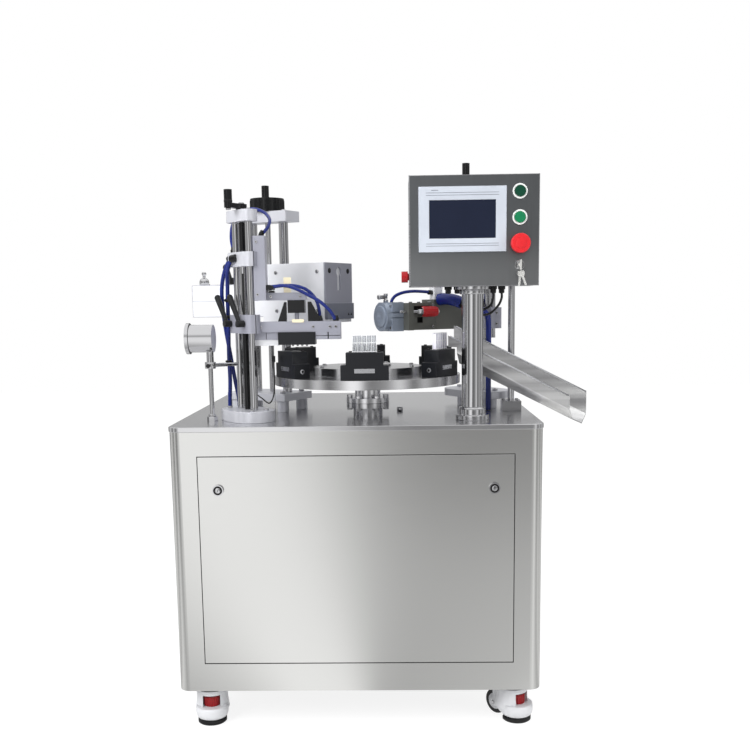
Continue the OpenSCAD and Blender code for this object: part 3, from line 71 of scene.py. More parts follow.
# Camera: on a stand in front of the machine, a little above the table and slightly to the right.
# Places are millimetres from the middle of the table top's front edge.
shell_low, shell_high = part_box("cabinet_shell")
datum = Vector(((shell_low.x + shell_high.x) / 2, shell_low.y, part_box("table_top")[1].z))


def at(x, y, z):
    return datum + Vector((x, y, z)) / 1000


stand_point = (96.9, -2233, 277.3)
yaw, pitch, roll = 0.023, 0.1543, -0.0135
camera = bpy.data.objects.new("camera", bpy.data.cameras.new("camera"))
camera.data.sensor_width = 36
camera.data.lens = 46.95
camera.data.shift_y = 0.1077
camera.matrix_world = (
    Matrix.Translation(at(*stand_point))
    @ Matrix.Rotation(yaw, 4, "Z")
    @ Matrix.Rotation(math.pi / 2 - pitch, 4, "X")
    @ Matrix.Rotation(roll, 4, "Z")
)
scene.collection.objects.link(camera)
scene.camera = camera


# Studio: a white sweep under soft boxes. The world is white to the eye and dimmer as a lamp, so that colours
# keep their level, and metal mirrors the bright and dark bands of a shop round it.
def linear(code):
    parts = [int(code[i : i + 2], 16) / 255 for i in (1, 3, 5)]
    return [c / 12.92 if c <= 0.04045 else ((c + 0.055) / 1.055) ** 2.4 for c in parts] + [1]


def feed(tree, node, inputs):
    for name, value in inputs.items():
        socket = node.inputs[name]
        if isinstance(value, bpy.types.NodeSocket):
            tree.links.new(value, socket)
        else:
            socket.default_value = value


def add(tree, kind, inputs=None, **settings):
    made = tree.nodes.new(kind)
    for name, value in settings.items():
        setattr(made, name, value)
    feed(tree, made, inputs or {})
    return made


def new_material(name):
    made = bpy.data.materials.new(name)
    made.use_nodes = True
    return made, made.node_tree, made.node_tree.nodes["Principled BSDF"]


# How bright the shop stands round the machine, by direction: where on the round, from the left by the front,
# and how bright. Metal mirrors these bands; paint and the eye see plain white.
round_tones = (
    (0.0, 0.6), (0.045, 0.08), (0.08, 0.8), (0.125, 0.07), (0.165, 0.55), (0.195, 1.2),
    (0.226, 1.15), (0.236, 0.75), (0.245, 0.28), (0.262, 0.18), (0.285, 0.24), (0.32, 0.35),
    (0.36, 0.9), (0.41, 0.1), (0.455, 0.6), (0.5, 0.2), (0.56, 0.7), (0.61, 0.12),
    (0.68, 0.3), (0.75, 0.6), (0.82, 0.3), (0.89, 0.12), (0.94, 0.7), (1.0, 0.6),
)


def shop_bands(tree, direction):
    turn = add(tree, "ShaderNodeTexGradient", {"Vector": direction}, gradient_type="RADIAL")
    ramp = add(tree, "ShaderNodeValToRGB", {0: turn.outputs["Fac"]})
    stops = ramp.color_ramp.elements
    for where, tone in round_tones[1:-1]:
        stops.new(where).color = (tone, tone, tone, 1)
    stops[0].color = (round_tones[0][1],) * 3 + (1,)
    stops[-1].color = (round_tones[-1][1],) * 3 + (1,)
    return ramp.outputs[0]


world = bpy.data.worlds.new("studio_white")
scene.world = world
world.use_nodes = True
tree = world.node_tree
ray = add(tree, "ShaderNodeLightPath")
look = add(tree, "ShaderNodeTexCoord").outputs["Generated"]
bands = shop_bands(tree, look)
height = add(tree, "ShaderNodeSeparateXYZ", {0: look}).outputs["Z"]
above = add(tree, "ShaderNodeMapRange", {"Value": height, "From Min": 0.14, "From Max": 0.4})
roof = add(
    tree,
    "ShaderNodeMapRange",
    {"Value": height, "From Min": 0.3, "From Max": 0.6, "To Min": 0.3, "To Max": 1.1},
)
shop = add(tree, "ShaderNodeMix", {0: above.outputs[0], 6: bands, 7: roof.outputs[0]}, data_type="RGBA")
eye_level, lamp_level = 1.0, 0.6
plain = add(
    tree,
    "ShaderNodeMapRange",
    {"Value": ray.outputs["Is Diffuse Ray"], "To Min": eye_level, "To Max": lamp_level},
)
sky = add(
    tree,
    "ShaderNodeMix",
    {0: ray.outputs["Is Glossy Ray"], 6: plain.outputs[0], 7: shop.outputs[2]},
    data_type="RGBA",
)
feed(tree, tree.nodes["Background"], {"Color": sky.outputs[2]})

# Matt backdrop paper: nearly white to the eye, with the machine's soft shadow left in. Metal mirrors it as
# banded as the shop, and paler close by.
paper, tree, shader = new_material("backdrop_paper")
feed(tree, shader, {"Base Color": linear("#f4f4f4"), "Roughness": 0.9})
paper_glow, glow_share = 1.2, 0.72
near_lift, near_m, far_m = 0.44, 2.0, 5.0
ray = add(tree, "ShaderNodeLightPath")
lit = add(tree, "ShaderNodeEmission", {"Color": (1, 1, 1, 1), "Strength": paper_glow})
share = add(tree, "ShaderNodeMath", {0: ray.outputs["Is Camera Ray"], 1: glow_share}, operation="MULTIPLY")
seen = add(tree, "ShaderNodeMixShader", {0: share.outputs[0], 1: shader.outputs[0], 2: lit.outputs[0]})
floor_at = add(tree, "ShaderNodeTexCoord").outputs["Object"]
bands = shop_bands(tree, floor_at)
away = add(tree, "ShaderNodeVectorMath", {0: floor_at}, operation="LENGTH")
near = add(
    tree,
    "ShaderNodeMapRange",
    {"Value": away.outputs[1], "From Min": near_m, "From Max": far_m, "To Min": near_lift, "To Max": 0.0},
)
mirrored = add(tree, "ShaderNodeMix", {0: near.outputs[0], 6: bands, 7: (1, 1, 1, 1)}, data_type="RGBA")
sheen = add(tree, "ShaderNodeEmission", {"Color": mirrored.outputs[2]})
whole = add(
    tree, "ShaderNodeMixShader", {0: ray.outputs["Is Glossy Ray"], 1: seen.outputs[0], 2: sheen.outputs[0]}
)
feed(tree, tree.nodes["Material Output"], {"Surface": whole.outputs[0]})
reach = 9
sheet = bpy.data.meshes.new("floor")
sheet.from_pydata(
    [(-reach, -reach, 0), (reach, -reach, 0), (reach, reach, 0), (-reach, reach, 0)], [], [(0, 1, 2, 3)]
)
sheet.materials.append(paper)
floor = bpy.data.objects.new("floor", sheet)
scene.collection.objects.link(floor)


def soft_box(name, place, target, size, watts):
    lamp = bpy.data.lights.new(name, "AREA")
    lamp.shape = "RECTANGLE"
    lamp.size, lamp.size_y = size
    lamp.energy = watts
    made = bpy.data.objects.new(name, lamp)
    made.location = place
    made.rotation_euler = (Vector(target) - Vector(place)).to_track_quat("-Z", "Y").to_euler()
    made.visible_glossy = False
    scene.collection.objects.link(made)


soft_box("key_box", (-2.2, -2.6, 2.6), (0, 0, 0.7), (1.6, 2.2), 84)
soft_box("fill_box", (2.8, -2.0, 1.6), (0, 0, 0.6), (1.2, 2.4), 32)
soft_box("top_box", (0, 0.2, 3.2), (0, 0, 0.7), (2.4, 2.4), 20)
soft_box("side_box", (-1.7, -0.9, 1.9), (-0.2, 0.0, 1.0), (0.8, 0.8), 11)
soft_box("back_box", (0.4, 3.0, 2.2), (0, 0, 0.8), (2.4, 1.6), 26)


# Cabinet: 3 mm stainless sheet wrapped round upright corners, satin brushed along its length, under a
# thicker table top. The brushing spreads every reflection into tall soft bands, bright left and dim right.
def brushed(name, colour, rough, grit_mm, streak=0.10, aniso=0.5):
    """Worked metal: grit drawn out along the brush, its spacing in millimetres, over slow clouds of tone."""
    cloud_mm, cloud_share, scratch_m = 333, 0.3, 0.0003
    made, tree, shader = new_material(name)
    place = add(tree, "ShaderNodeTexCoord").outputs["Object"]
    lines = add(tree, "ShaderNodeMapping", {"Vector": place, "Scale": [1000 / mm for mm in grit_mm]})
    grit = add(
        tree,
        "ShaderNodeTexNoise",
        {"Vector": lines.outputs[0], "Scale": 1.0, "Detail": 4.0, "Roughness": 0.6},
    ).outputs[0]
    cloud = add(tree, "ShaderNodeTexNoise", {"Vector": place, "Scale": 1000 / cloud_mm, "Detail": 2.0})
    both = add(tree, "ShaderNodeMix", {0: cloud_share, 2: grit, 3: cloud.outputs[0]}, data_type="FLOAT")
    pale = linear(colour)
    deep = [c * (1 - streak) for c in pale[:3]] + [1]
    tone = add(tree, "ShaderNodeMix", {"Factor": both.outputs[0], 6: deep, 7: pale}, data_type="RGBA")
    gloss = add(
        tree,
        "ShaderNodeMapRange",
        {"Value": grit, "From Min": 0.3, "From Max": 0.7, "To Min": rough * 0.9, "To Max": rough * 1.12},
    )
    scratch = add(tree, "ShaderNodeBump", {"Height": grit, "Strength": 0.05, "Distance": scratch_m})
    facing = add(tree, "ShaderNodeNewGeometry").outputs["Normal"]
    grain = add(tree, "ShaderNodeVectorMath", {0: (1, 0.02, 0), 1: facing}, operation="CROSS_PRODUCT")
    feed(tree, shader, {"Base Color": tone.outputs[2], "Roughness": gloss.outputs[0]})
    feed(tree, shader, {"Normal": scratch.outputs[0], "Tangent": grain.outputs[0]})
    feed(tree, shader, {"Metallic": 1.0, "Anisotropic": aniso})
    return made


def painted(name, colour, rough, bump=0.15, grain_mm=1.2, metallic=0.0):
    """Paint, plastic or anodising: a fine skin of the given grain over slow patches of tone."""
    patch_mm, skin_m = 71, 0.0002
    made, tree, shader = new_material(name)
    place = add(tree, "ShaderNodeTexCoord").outputs["Object"]
    peel = add(
        tree, "ShaderNodeTexNoise", {"Vector": place, "Scale": 1000 / grain_mm, "Detail": 3.0}
    ).outputs[0]
    broad = add(tree, "ShaderNodeTexNoise", {"Vector": place, "Scale": 1000 / patch_mm, "Detail": 3.0})
    base = linear(colour)
    deep = [c * 0.9 for c in base[:3]] + [1]
    pale = [min(c * 1.08, 1) for c in base[:3]] + [1]
    tone = add(tree, "ShaderNodeMix", {"Factor": broad.outputs[0], 6: deep, 7: pale}, data_type="RGBA")
    gloss = add(
        tree, "ShaderNodeMapRange", {"Value": peel, "To Min": rough * 0.85, "To Max": rough * 1.15}
    )
    film = add(tree, "ShaderNodeBump", {"Height": peel, "Strength": bump, "Distance": skin_m})
    feed(tree, shader, {"Base Color": tone.outputs[2], "Roughness": gloss.outputs[0]})
    feed(tree, shader, {"Normal": film.outputs[0], "Metallic": metallic})
    return made


def coat(node, material):
    slots = frame["nodes"][node].data.materials
    slots.clear()
    slots.append(material)


def body_of(node):
    return frame["nodes"][node].parent.name.split(":", 1)[1]


def drawn_box(node):
    return [(corner - datum) * 1000 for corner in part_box(node)]


def ease_edges(piece, width):
    sharp = math.radians(35)
    edge = piece.modifiers.new("edge", "BEVEL")
    edge.width = width / 1000
    edge.segments = 2
    edge.limit_method = "ANGLE"
    edge.angle_limit = sharp
    edge.harden_normals = True
    piece.data.set_sharp_from_angle(angle=sharp)


def linked(name, shape, materials):
    mesh = bpy.data.meshes.new(name)
    shape.to_mesh(mesh)
    shape.free()
    for made in materials:
        mesh.materials.append(made)
    piece = bpy.data.objects.new(name, mesh)
    scene.collection.objects.link(piece)
    return piece


def eased(node, width, *materials, pick=None):
    """The node's own solid with its edges eased, in millimetres; pick names each face's material."""
    shape = bmesh.new()
    shape.from_mesh(frame["nodes"][node].data)
    bmesh.ops.remove_doubles(shape, verts=shape.verts, dist=1e-6)
    bmesh.ops.dissolve_limit(shape, angle_limit=math.radians(0.6), verts=shape.verts, edges=shape.edges)
    for face in shape.faces:
        face.smooth = True
        if pick:
            place = (face.calc_center_median() - datum) * 1000
            face.material_index = pick(place, face.normal)
    piece = linked(node + "_eased", shape, materials)
    ease_edges(piece, width)
    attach(piece, body_of(node))
    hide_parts(node)


def oblong(x0, x1, y0, y1):
    return [(x0, y0), (x1, y0), (x1, y1), (x0, y1)]


def slab(shape, outline, low, high, holder, paint=0):
    """An outline in millimetres, extruded from low to high along the holder's own z."""
    base = [shape.verts.new(holder @ Vector((x, y, low))) for x, y in outline]
    roof = [shape.verts.new(holder @ Vector((x, y, high))) for x, y in outline]
    count = len(outline)
    faces = [shape.faces.new(base[::-1]), shape.faces.new(roof)]
    for i in range(count):
        j = (i + 1) % count
        faces.append(shape.faces.new((base[i], base[j], roof[j], roof[i])))
    for face in faces:
        face.material_index = paint


def circle(sides):
    return [2 * math.pi * k / sides for k in range(sides)]


def skin(shape, rings, sides, paint):
    """Faces from ring to ring, smooth to the eye, and flat ends; a ring may be a single point."""
    for low, high in zip(rings, rings[1:]):
        for k in range(sides):
            n = (k + 1) % sides
            corners = (low[k % len(low)], low[n % len(low)], high[n % len(high)], high[k % len(high)])
            face = shape.faces.new(list(dict.fromkeys(corners)))
            face.material_index = paint
            face.smooth = True
    for ring in (rings[0][::-1], rings[-1]):
        if len(ring) > 1:
            shape.faces.new(ring).material_index = paint


def turned(shape, profile, holder, sides, paint=0):
    """A profile of (radius, height) in millimetres, turned about the holder's own z."""
    rings = []
    for radius, height in profile:
        turns = circle(sides) if radius else [0]
        spots = [Vector((radius * math.cos(a), radius * math.sin(a), height)) for a in turns]
        rings.append([shape.verts.new(holder @ spot) for spot in spots])
    skin(shape, rings, sides, paint)


def hold(x, y, z, along=(0, 0, 1)):
    """A holder at a place in millimetres whose own z points along the given direction."""
    return Matrix.Translation((x, y, z)) @ Vector(along).to_track_quat("Z", "Y").to_matrix().to_4x4()


def shift(holder, x=0, y=0, z=0):
    return holder @ Matrix.Translation((x, y, z))


def spin(holder, degrees, axis="Z"):
    return holder @ Matrix.Rotation(math.radians(degrees), 4, axis)


# Holders that stand upright start from the table's own frame.
table = Matrix()


def drawn(name, shape, materials):
    """The finished shape, drawn in millimetres, as an object of its own."""
    bmesh.ops.recalc_face_normals(shape, faces=shape.faces)
    for vert in shape.verts:
        vert.co = at(*vert.co)
    return linked(name, shape, materials)


def put(name, shape, body, slot, *materials, ease=0):
    """The finished shape as a piece that rides on a body, its edges eased by so many millimetres."""
    piece = drawn(name, shape, materials)
    if ease:
        ease_edges(piece, ease)
    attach(piece, body)
    return piece


def screw(shape, holder, radius, height, paint=0, dark=1):
    """A socket-head screw: a rounded head, its six-sided socket drawn as a dark disc, painted shade."""
    socket = radius * 0.55
    turned(shape, [(radius, 0), (radius, height * 0.85), (radius * 0.9, height)], holder, 24, paint)
    turned(shape, [(socket, height + 0.05), (socket * 0.96, height + 0.12)], holder, 6, dark)


# Satin stainless for walls and top, brushed along z and along y. The shadow black is painted shade in gaps,
# slots, sockets and windows, and also the colour of a few black parts.
wall_steel = brushed("brushed_stainless_wall", "#e2e2e0", 0.24, (110, 110, 1.1), 0.06)
top_steel = brushed("brushed_stainless_top", "#dcdcde", 0.22, (110, 1.4, 110))
black_gap = painted("shadow_black", "#0c0c0d", 0.7)
dark_enamel = painted("dark_enamel", "#3a3b3d", 0.5)
coat("cabinet_shell", wall_steel)
eased("table_top", 1.6, top_steel)
eased("front_panel", 0.8, wall_steel)
coat("bottom_frame", dark_enamel)

# Shade in the gap round the front panel: a black strip set back in the gap, painted shade, drawn as outlines
# seen from the front, across and up, with their depth as the third number.
front_view = Matrix(((1, 0, 0, 0), (0, 0, 1, 0), (0, 1, 0, 0), (0, 0, 0, 1)))
panel_low, panel_high = drawn_box("front_panel")
gap_shade_w, gap_shade_free, gap_shade_front, gap_shade_back = 1.8, 0.2, 0.9, 2.6
gap_shade = bmesh.new()
for x0, x1 in (
    (panel_low.x - gap_shade_w, panel_low.x - gap_shade_free),
    (panel_high.x + gap_shade_free, panel_high.x + gap_shade_w),
):
    upright = oblong(x0, x1, panel_low.z - gap_shade_w, panel_high.z + gap_shade_w)
    slab(gap_shade, upright, gap_shade_front, gap_shade_back, front_view)
for z0, z1 in (
    (panel_low.z - gap_shade_w, panel_low.z - gap_shade_free),
    (panel_high.z + gap_shade_free, panel_high.z + gap_shade_w),
):
    slab(gap_shade, oblong(panel_low.x, panel_high.x, z0, z1), gap_shade_front, gap_shade_back, front_view)
put("panel_seal", gap_shade, "cabinet", "black_plastic", black_gap)

# Panel locks: turned stainless heads, polished so that they mirror the shop in sharp arcs, each with its key
# slot drawn as a dark plate, painted shade, and set in a thin dark ring.
polished = brushed("polished_stainless", "#cdcdcf", 0.11, (3.8, 3.8, 83), 0.06, 0.2)
lock_z = -148
ring_profile = [(10.5, -0.1), (10.5, 0.6), (9.4, 0.9), (9.2, 0.3), (0, 0.2)]
head_profile = [(6.6, 0.2), (6.6, 0.9), (5.6, 1.2), (0, 1.25)]
key_slot = oblong(-0.7, 0.7, -3, 3)
for node in ("panel_lock_left", "panel_lock_right"):
    eased(node, 0.6, polished)
    low, high = drawn_box(node)
    holder = hold((low.x + high.x) / 2, low.y, lock_z, (0, -1, 0))
    ring = bmesh.new()
    turned(ring, ring_profile, holder, 32, 1)
    turned(ring, head_profile, holder, 24, 0)
    slab(ring, key_slot, 1.1, 1.4, holder, 1)
    put(node + "_face", ring, node, "polished_steel", polished, black_gap)

# Back and inside of the cabinet: a screwed louvre panel with pressed hoods over its slots, the nylon cable
# gland, and behind them the enamelled index drive and the zinc-plated plate of the valves.
black_nylon = painted("black_moulded_nylon", "#0c0d0f", 0.34, 0.1, 1.0)
gear_paint = painted("blue_grey_enamel", "#5d6c7d", 0.4, 0.2, 1.5)
zinc = brushed("zinc_plate", "#b9bcc2", 0.38, (17, 17, 17), 0.15, 0.0)
coat("rear_panel", wall_steel)
eased("cable_gland", 1.0, black_nylon)
eased("index_drive", 3.0, gear_paint)
eased("valve_plate", 0.8, zinc)
panel_low, panel_high = drawn_box("rear_panel")
louvre_n, louvre_pitch, louvre_w, corner_in = 9, 26, 360, 12
hood_outline = [(4, 0), (10, 0), (9, -3), (4, -7), (3, -6.6), (7, -2.6)]
sideways = Matrix(((0, 0, 1, 0), (0, -1, 0, 0), (-1, 0, 0, 0), (0, 0, 0, 1)))
hoods = bmesh.new()
for i in range(louvre_n):
    z = (panel_low.z + panel_high.z) / 2 + (i - (louvre_n - 1) / 2) * louvre_pitch
    slab(hoods, hood_outline, 0, louvre_w, shift(table, -louvre_w / 2, panel_high.y, z) @ sideways)
for x in (panel_low.x + corner_in, 0, panel_high.x - corner_in):
    for z in (panel_low.z + corner_in, panel_high.z - corner_in):
        screw(hoods, hold(x, panel_high.y, z, (0, 1, 0)), 5, 3)
put("rear_louvres", hoods, "cabinet", "stainless", wall_steel, black_gap, ease=0.3)


# Casters: nylon forks on black plates, each with a red thumb wheel in its window that screws a rubber-soled
# pad down to the floor. The white shell, the red band and the black sole are what the eye reads.
white_nylon = painted("white_moulded_nylon", "#dcdde0", 0.36, 0.1, 1.0)
red_abs = painted("red_moulded_abs", "#b0141c", 0.28, 0.05, 1.0)
dark_red = painted("dark_red_moulded_abs", "#9c1118", 0.3, 0.05, 1.0)
tyre_rubber = painted("black_rubber", "#0f0f11", 0.6, 0.2, 1.0)
eased("caster_plates", 1.0, black_nylon)
floor_z, pad_back, pad_r, pad_h, thumb_r, thumb_low, thumb_high = -734, -24, 30, 13, 18, 42, 66
trail, wheel_r, wheel_side, rib_n = 34, 31, -4, 20
rib = [(1.6, 0), (1.8, 1.5), (1.8, 20), (1.6, 21.5)]
sole = [(32, 0.2), (35, 2.5), (35, 9), (32, 12.5)]
skirt = [(31, 13), (35, 15), (38, 20), (39.4, 27), (39.6, 34), (38, 43)]
hub_disc = [(20, 14.6), (20, 15.2), (18, 15.35), (7, 15.35)]
axle_end = [(4.4, 22.4), (4.4, 23.4), (3.4, 24)]
for corner, x, y, turn in (
    ("front_left", -367, 68, 96),
    ("front_right", 367, 68, 132),
    ("back_left", -367, 782, 60),
    ("back_right", 367, 782, 110),
):
    stand = spin(shift(table, x, y, floor_z), turn)
    back = stand.inverted()

    def caster_paint(place, normal, back=back):
        spot = back @ place
        from_pad = math.hypot(spot.x - pad_back, spot.y)
        if spot.z < pad_h and from_pad < pad_r + 1:
            return 2
        return 1 if from_pad < thumb_r + 0.5 and thumb_low - 2 < spot.z < thumb_high + 2 else 0

    eased("caster_fork_" + corner, 1.6, white_nylon, dark_red, tyre_rubber, pick=caster_paint)
    eased("caster_wheel_" + corner, 4.0, tyre_rubber)
    pad = shift(stand, pad_back)
    grip = bmesh.new()
    for a in circle(rib_n):
        turned(grip, rib, shift(pad, thumb_r * math.cos(a), thumb_r * math.sin(a), thumb_low + 1), 8, 0)
    turned(grip, sole, pad, 40, 1)
    turned(grip, skirt, pad, 40, 2)
    for vert in grip.verts:
        spot = back @ vert.co
        spot.x = min(spot.x, wheel_side)
        vert.co = stand @ spot
    put("caster_grip_" + corner, grip, "caster_" + corner, "red_plastic", dark_red, tyre_rubber, white_nylon)
    hub = bmesh.new()
    axle = spin(shift(stand, trail, 0, wheel_r), 90, "X")
    for face in (axle, spin(axle, 180, "X")):
        turned(hub, hub_disc, face, 32, 0)
        turned(hub, axle_end, face, 20, 1)
    put("caster_hub_" + corner, hub, "wheel_" + corner, "tyre_black", white_nylon, polished)


# Turntable: a ground steel disc with a raised ring, on a polished neck whose flange is bolted to the bearing
# housing below. Turning marks run round it, so the light breaks into fans.
ground_plate = brushed("ground_steel_plate", "#e4e4e6", 0.22, (33, 33, 3.3), 0.07, 0.25)
eased("turntable_disc", 1.2, ground_plate)
eased("spindle_flange", 1.0, polished)
disc_x, disc_y, disc_top, ring_h, cap_h, bolt_n, bolt_r = 24, 233, 103, 20, 6.5, 8, 120
spindle = shift(table, disc_x, disc_y)


def station(angle):
    return spin(spindle, angle)


trim = bmesh.new()
for k in range(bolt_n):
    screw(trim, shift(station(360 * (k + 0.5) / bolt_n), bolt_r, 0, disc_top + ring_h), 5, 3.5)
cap_seat = shift(spindle, 0, 0, disc_top + ring_h)
turned(trim, [(60, 0), (60, 5), (57, cap_h), (16, cap_h), (16, 0)], cap_seat, 64)
turned(trim, [(14, 0), (14, 8), (12, 10), (0, 10.4)], shift(cap_seat, 0, 0, cap_h), 6)
put("turntable_cap", trim, "turntable", "table_steel", ground_plate, black_gap, ease=0.4)

# Six tube fixtures of black anodised aluminium, with bright worn edges, a bare steel tag let into each front
# and a grub screw in each side. The anodising is a dull black that still shows its edges.
black_anodised = painted("black_anodised_aluminium", "#101217", 0.33, 0.1, 0.8)
bare_alu = brushed("bare_aluminium", "#d9dade", 0.28, (25, 25, 3.3), 0.06, 0.1)
eased("tube_fixtures", 1.2, black_anodised)
station_n, fixture_r, fixture_w, fixture_h = 6, 225, 111, 64
tag, tag_t = oblong(-27, -17, -23.5, 23.5), 0.5
grub_in, grub_z, clamp_in, clamp_y = 20, 17, 33, 33
tags = bmesh.new()
for k in range(station_n):
    seat = shift(station(-90 + 360 / station_n * k), fixture_r, 0, disc_top)
    slab(tags, tag, -tag_t, tag_t, spin(seat, 90, "Y"), 0)
    for side in (-1, 1):
        grub = spin(shift(seat, -grub_in, side * fixture_w / 2, grub_z), -90 * side, "X")
        screw(tags, grub, 5.5, 1.0)
        screw(tags, shift(seat, -clamp_in, side * clamp_y, fixture_h), 4, 2.4, 1, 0)
put("fixture_tags", tags, "turntable", "table_steel", bare_alu, black_gap, ease=0.2)

# Tube strips: five clear polyethylene tubes moulded side by side, slightly hazy, with thick milky edges that
# draw a grid of white lines. The strip at the right is full, which turns it cream.
clear_tube, tree, shader = new_material("clear_polyethylene")
haze_mm = 8.3
haze = add(tree, "ShaderNodeTexNoise", {"Scale": 1000 / haze_mm, "Detail": 2.0})
mist = add(tree, "ShaderNodeMapRange", {"Value": haze.outputs[0], "To Min": 0.08, "To Max": 0.2})
feed(tree, shader, {"Base Color": linear("#eef1f6"), "Roughness": mist.outputs[0]})
feed(tree, shader, {"Transmission Weight": 0.8, "IOR": 1.25})
milky = painted("milky_polyethylene", "#f7f8fb", 0.3, 0.03, 1.0)
filled = painted("filled_tube_cream", "#eceaf6", 0.4, 0.03, 1.0)
coat("tube_strips", clear_tube)
tube_pitch, tube_n, strip_r, strip_low, strip_top = 11.2, 5, 205, 166, 206
edge_out, strip_half = 4.6, tube_n * tube_pitch / 2
edges = bmesh.new()
for angle in (-90, -30):
    seat = shift(station(angle), strip_r)
    for face in (-edge_out, edge_out):
        for i in range(tube_n + 1):
            y = i * tube_pitch - strip_half
            slab(edges, oblong(face - 0.5, face + 0.5, y - 0.6, y + 0.6), strip_low, strip_top + 0.6, seat)
        for z in (strip_low + 2, (strip_low + strip_top) / 2 + 2, strip_top - 0.6):
            slab(edges, oblong(face - 0.45, face + 0.45, -strip_half, strip_half), z, z + 1.2, seat)
slab(edges, oblong(-4.2, 4.2, -27, 27), strip_low + 2, strip_top - 1, shift(station(-30), strip_r), 1)
put("strip_edges", edges, "turntable", "clear_tube", milky, filled, ease=0.2)


# Columns, plates and feet of the three stations: ground steel bars in clamped plates of pale anodised
# aluminium, screwed from above. The anodising is satin and shows soft edges.
pale_anodised = painted("pale_anodised_aluminium", "#d0d1d8", 0.3, 0.1, 0.8, 0.35)
eased("guide_columns", 0.8, polished)
eased("station_bases", 1.2, pale_anodised)
eased("column_top_plates", 1.5, pale_anodised)
fill_x, fill_y, fill_turn, half_gap, fill_foot, fill_top = -266, 136, 126, 33.5, 27, 499
seal_foot, seal_top, trim_foot, trim_top, trim_r = 48, 516, 48, 585, 333
fill_seat = spin(shift(table, fill_x, fill_y), fill_turn)
seal_seat, trim_seat = station(150), station(30)
caps = bmesh.new()
for side in (-1, 1):
    screw(caps, shift(fill_seat, side * half_gap, 0, fill_top), 5.5, 4)
    for y in (-19, 19):
        screw(caps, shift(fill_seat, side * 58, y, fill_foot), 6, 5)
for r in (250, 350):
    screw(caps, shift(seal_seat, r, 0, seal_top), 7, 5)
for r in (235, 385):
    for y in (-42, 42):
        screw(caps, shift(seal_seat, r, y, seal_foot), 7, 6)
for side in (-1, 1):
    screw(caps, shift(trim_seat, trim_r, side * 45, trim_top), 7, 5)
    screw(caps, shift(trim_seat, trim_r, side * 83.25, trim_foot), 7, 6)
turned(caps, [(8, 0), (8, 9), (6.5, 11), (0, 11.4)], shift(table, 105, 303), 6)
put("station_screws", caps, "cabinet", "polished_steel", polished, black_gap)


# Filling station: grey anodised clamps and arms on two columns. The upper clamp carries a slide with the
# press, the lower one the arm with its nozzle block; two black levers lock it. Fittings are black oxide.
grey_anodised = painted("grey_anodised_aluminium", "#a3a4b0", 0.32, 0.1, 0.8, 0.35)
white_enamel = painted("white_powder_coat", "#e3e4e8", 0.35, 0.2, 1.5)
black_steel = painted("black_oxide_steel", "#08090b", 0.26, 0.08, 1.0)
cream_plate = painted("cream_phenolic_sheet", "#ece2c2", 0.4, 0.1, 1.0)
screw_r, clamp_low, clamp_high, clamp_right = 11.6, 366, 404, -237
skirt_top, nozzle_top = 194.5, 182.9


def carriage_paint(place, normal):
    if math.hypot(place.x - fill_x, place.y - fill_y) < screw_r and place.z < clamp_low + 1:
        return 2
    return 1 if clamp_low < place.z < clamp_high and place.x < clamp_right else 0


def below(level):
    return lambda place, normal: 1 if place.z < level else 0


eased("fill_carriage", 1.2, grey_anodised, pale_anodised, polished, pick=carriage_paint)
eased("fill_arm", 1.2, grey_anodised, white_enamel, pick=below(skirt_top))
eased("fill_press", 1.5, black_steel)
eased("fill_nozzle_block", 0.8, black_anodised, polished, pick=below(nozzle_top))
eased("fill_crank", 1.2, black_steel)
coat("fill_lever_left", black_nylon)
coat("fill_lever_right", black_nylon)

# Trim of the upper clamp: seams, the valve block with its two outlets, a cream tab and push-in fittings. The
# paints of both trims are grey, black, bright and cream, in this order.
grey, black, bright, cream = range(4)
slide_front, upper_arm_front = 99.9, 118
outlet = [(6.5, -8), (6.5, 6), (5.4, 7), (5.4, 13), (4.6, 14)]
elbow = [(8, -12), (9, -8), (9, 4), (6.5, 6)]
clamp_cut_in, clamp_cut_out, clamp_cut_half = 9.5, 21.2, 0.8


def hose_nut(shoulder, length):
    return [(7, 0), (7, shoulder), (5.4, shoulder + 2), (5.4, length - 1), (4.6, length)]


def clamp_cuts(shape, low, high):
    """The saw cuts through both ends of a clamp, drawn as thin black plates."""
    for x0, x1, side in ((clamp_cut_in, clamp_cut_out, 1), (-clamp_cut_out, -clamp_cut_in, -1)):
        cut = oblong(x0, x1, -clamp_cut_half, clamp_cut_half)
        slab(shape, cut, low, high, shift(fill_seat, side * half_gap), black)


upper = bmesh.new()
for outline, near, far, paint in (
    (oblong(-233.5, -232, 292, 434), 99.6, 99.95, grey),
    (oblong(-268.5, -263.5, 226, 352), 124.4, 125.4, black),
    (oblong(-222, -198, 312, 324), 101, 132, black),
    (oblong(-170, -152, 306, 342), 128, 129.6, cream),
    (oblong(-206, -192, 306, 311), 120, 140, black),
):
    slab(upper, outline, near, far, front_view, paint)
for x, y, z in (
    (-229, slide_front, 302),
    (-229, slide_front, 424),
    (-200, upper_arm_front, 297),
    (-130, upper_arm_front, 297),
):
    screw(upper, hold(x, y, z, (0, -1, 0)), 3.2, 1.5, bright, black)
for y in (108, 128):
    turned(upper, outlet, hold(-205, y, 318, (1, 0, 0)), 20, black)
turned(upper, elbow, hold(-284, 121, 388, (0.85, -0.5, 0.12)), 20, black)
turned(upper, elbow, hold(-300, 183, 391, (0.8, -0.4, 0.3)), 20, black)
turned(upper, hose_nut(8, 15), hold(-294.5, 175, 402, (-0.1, 0.3, 1)), 6, black)
turned(upper, hose_nut(8, 14), hold(-220, 120, 438, (0.35, 0.1, 1)), 6, black)
clamp_cuts(upper, 367.5, 402.4)
trim_paints = (grey_anodised, black_steel, polished, cream_plate)
put("fill_upper_fittings", upper, "fill_carriage", "black_metal", *trim_paints, ease=0.4)

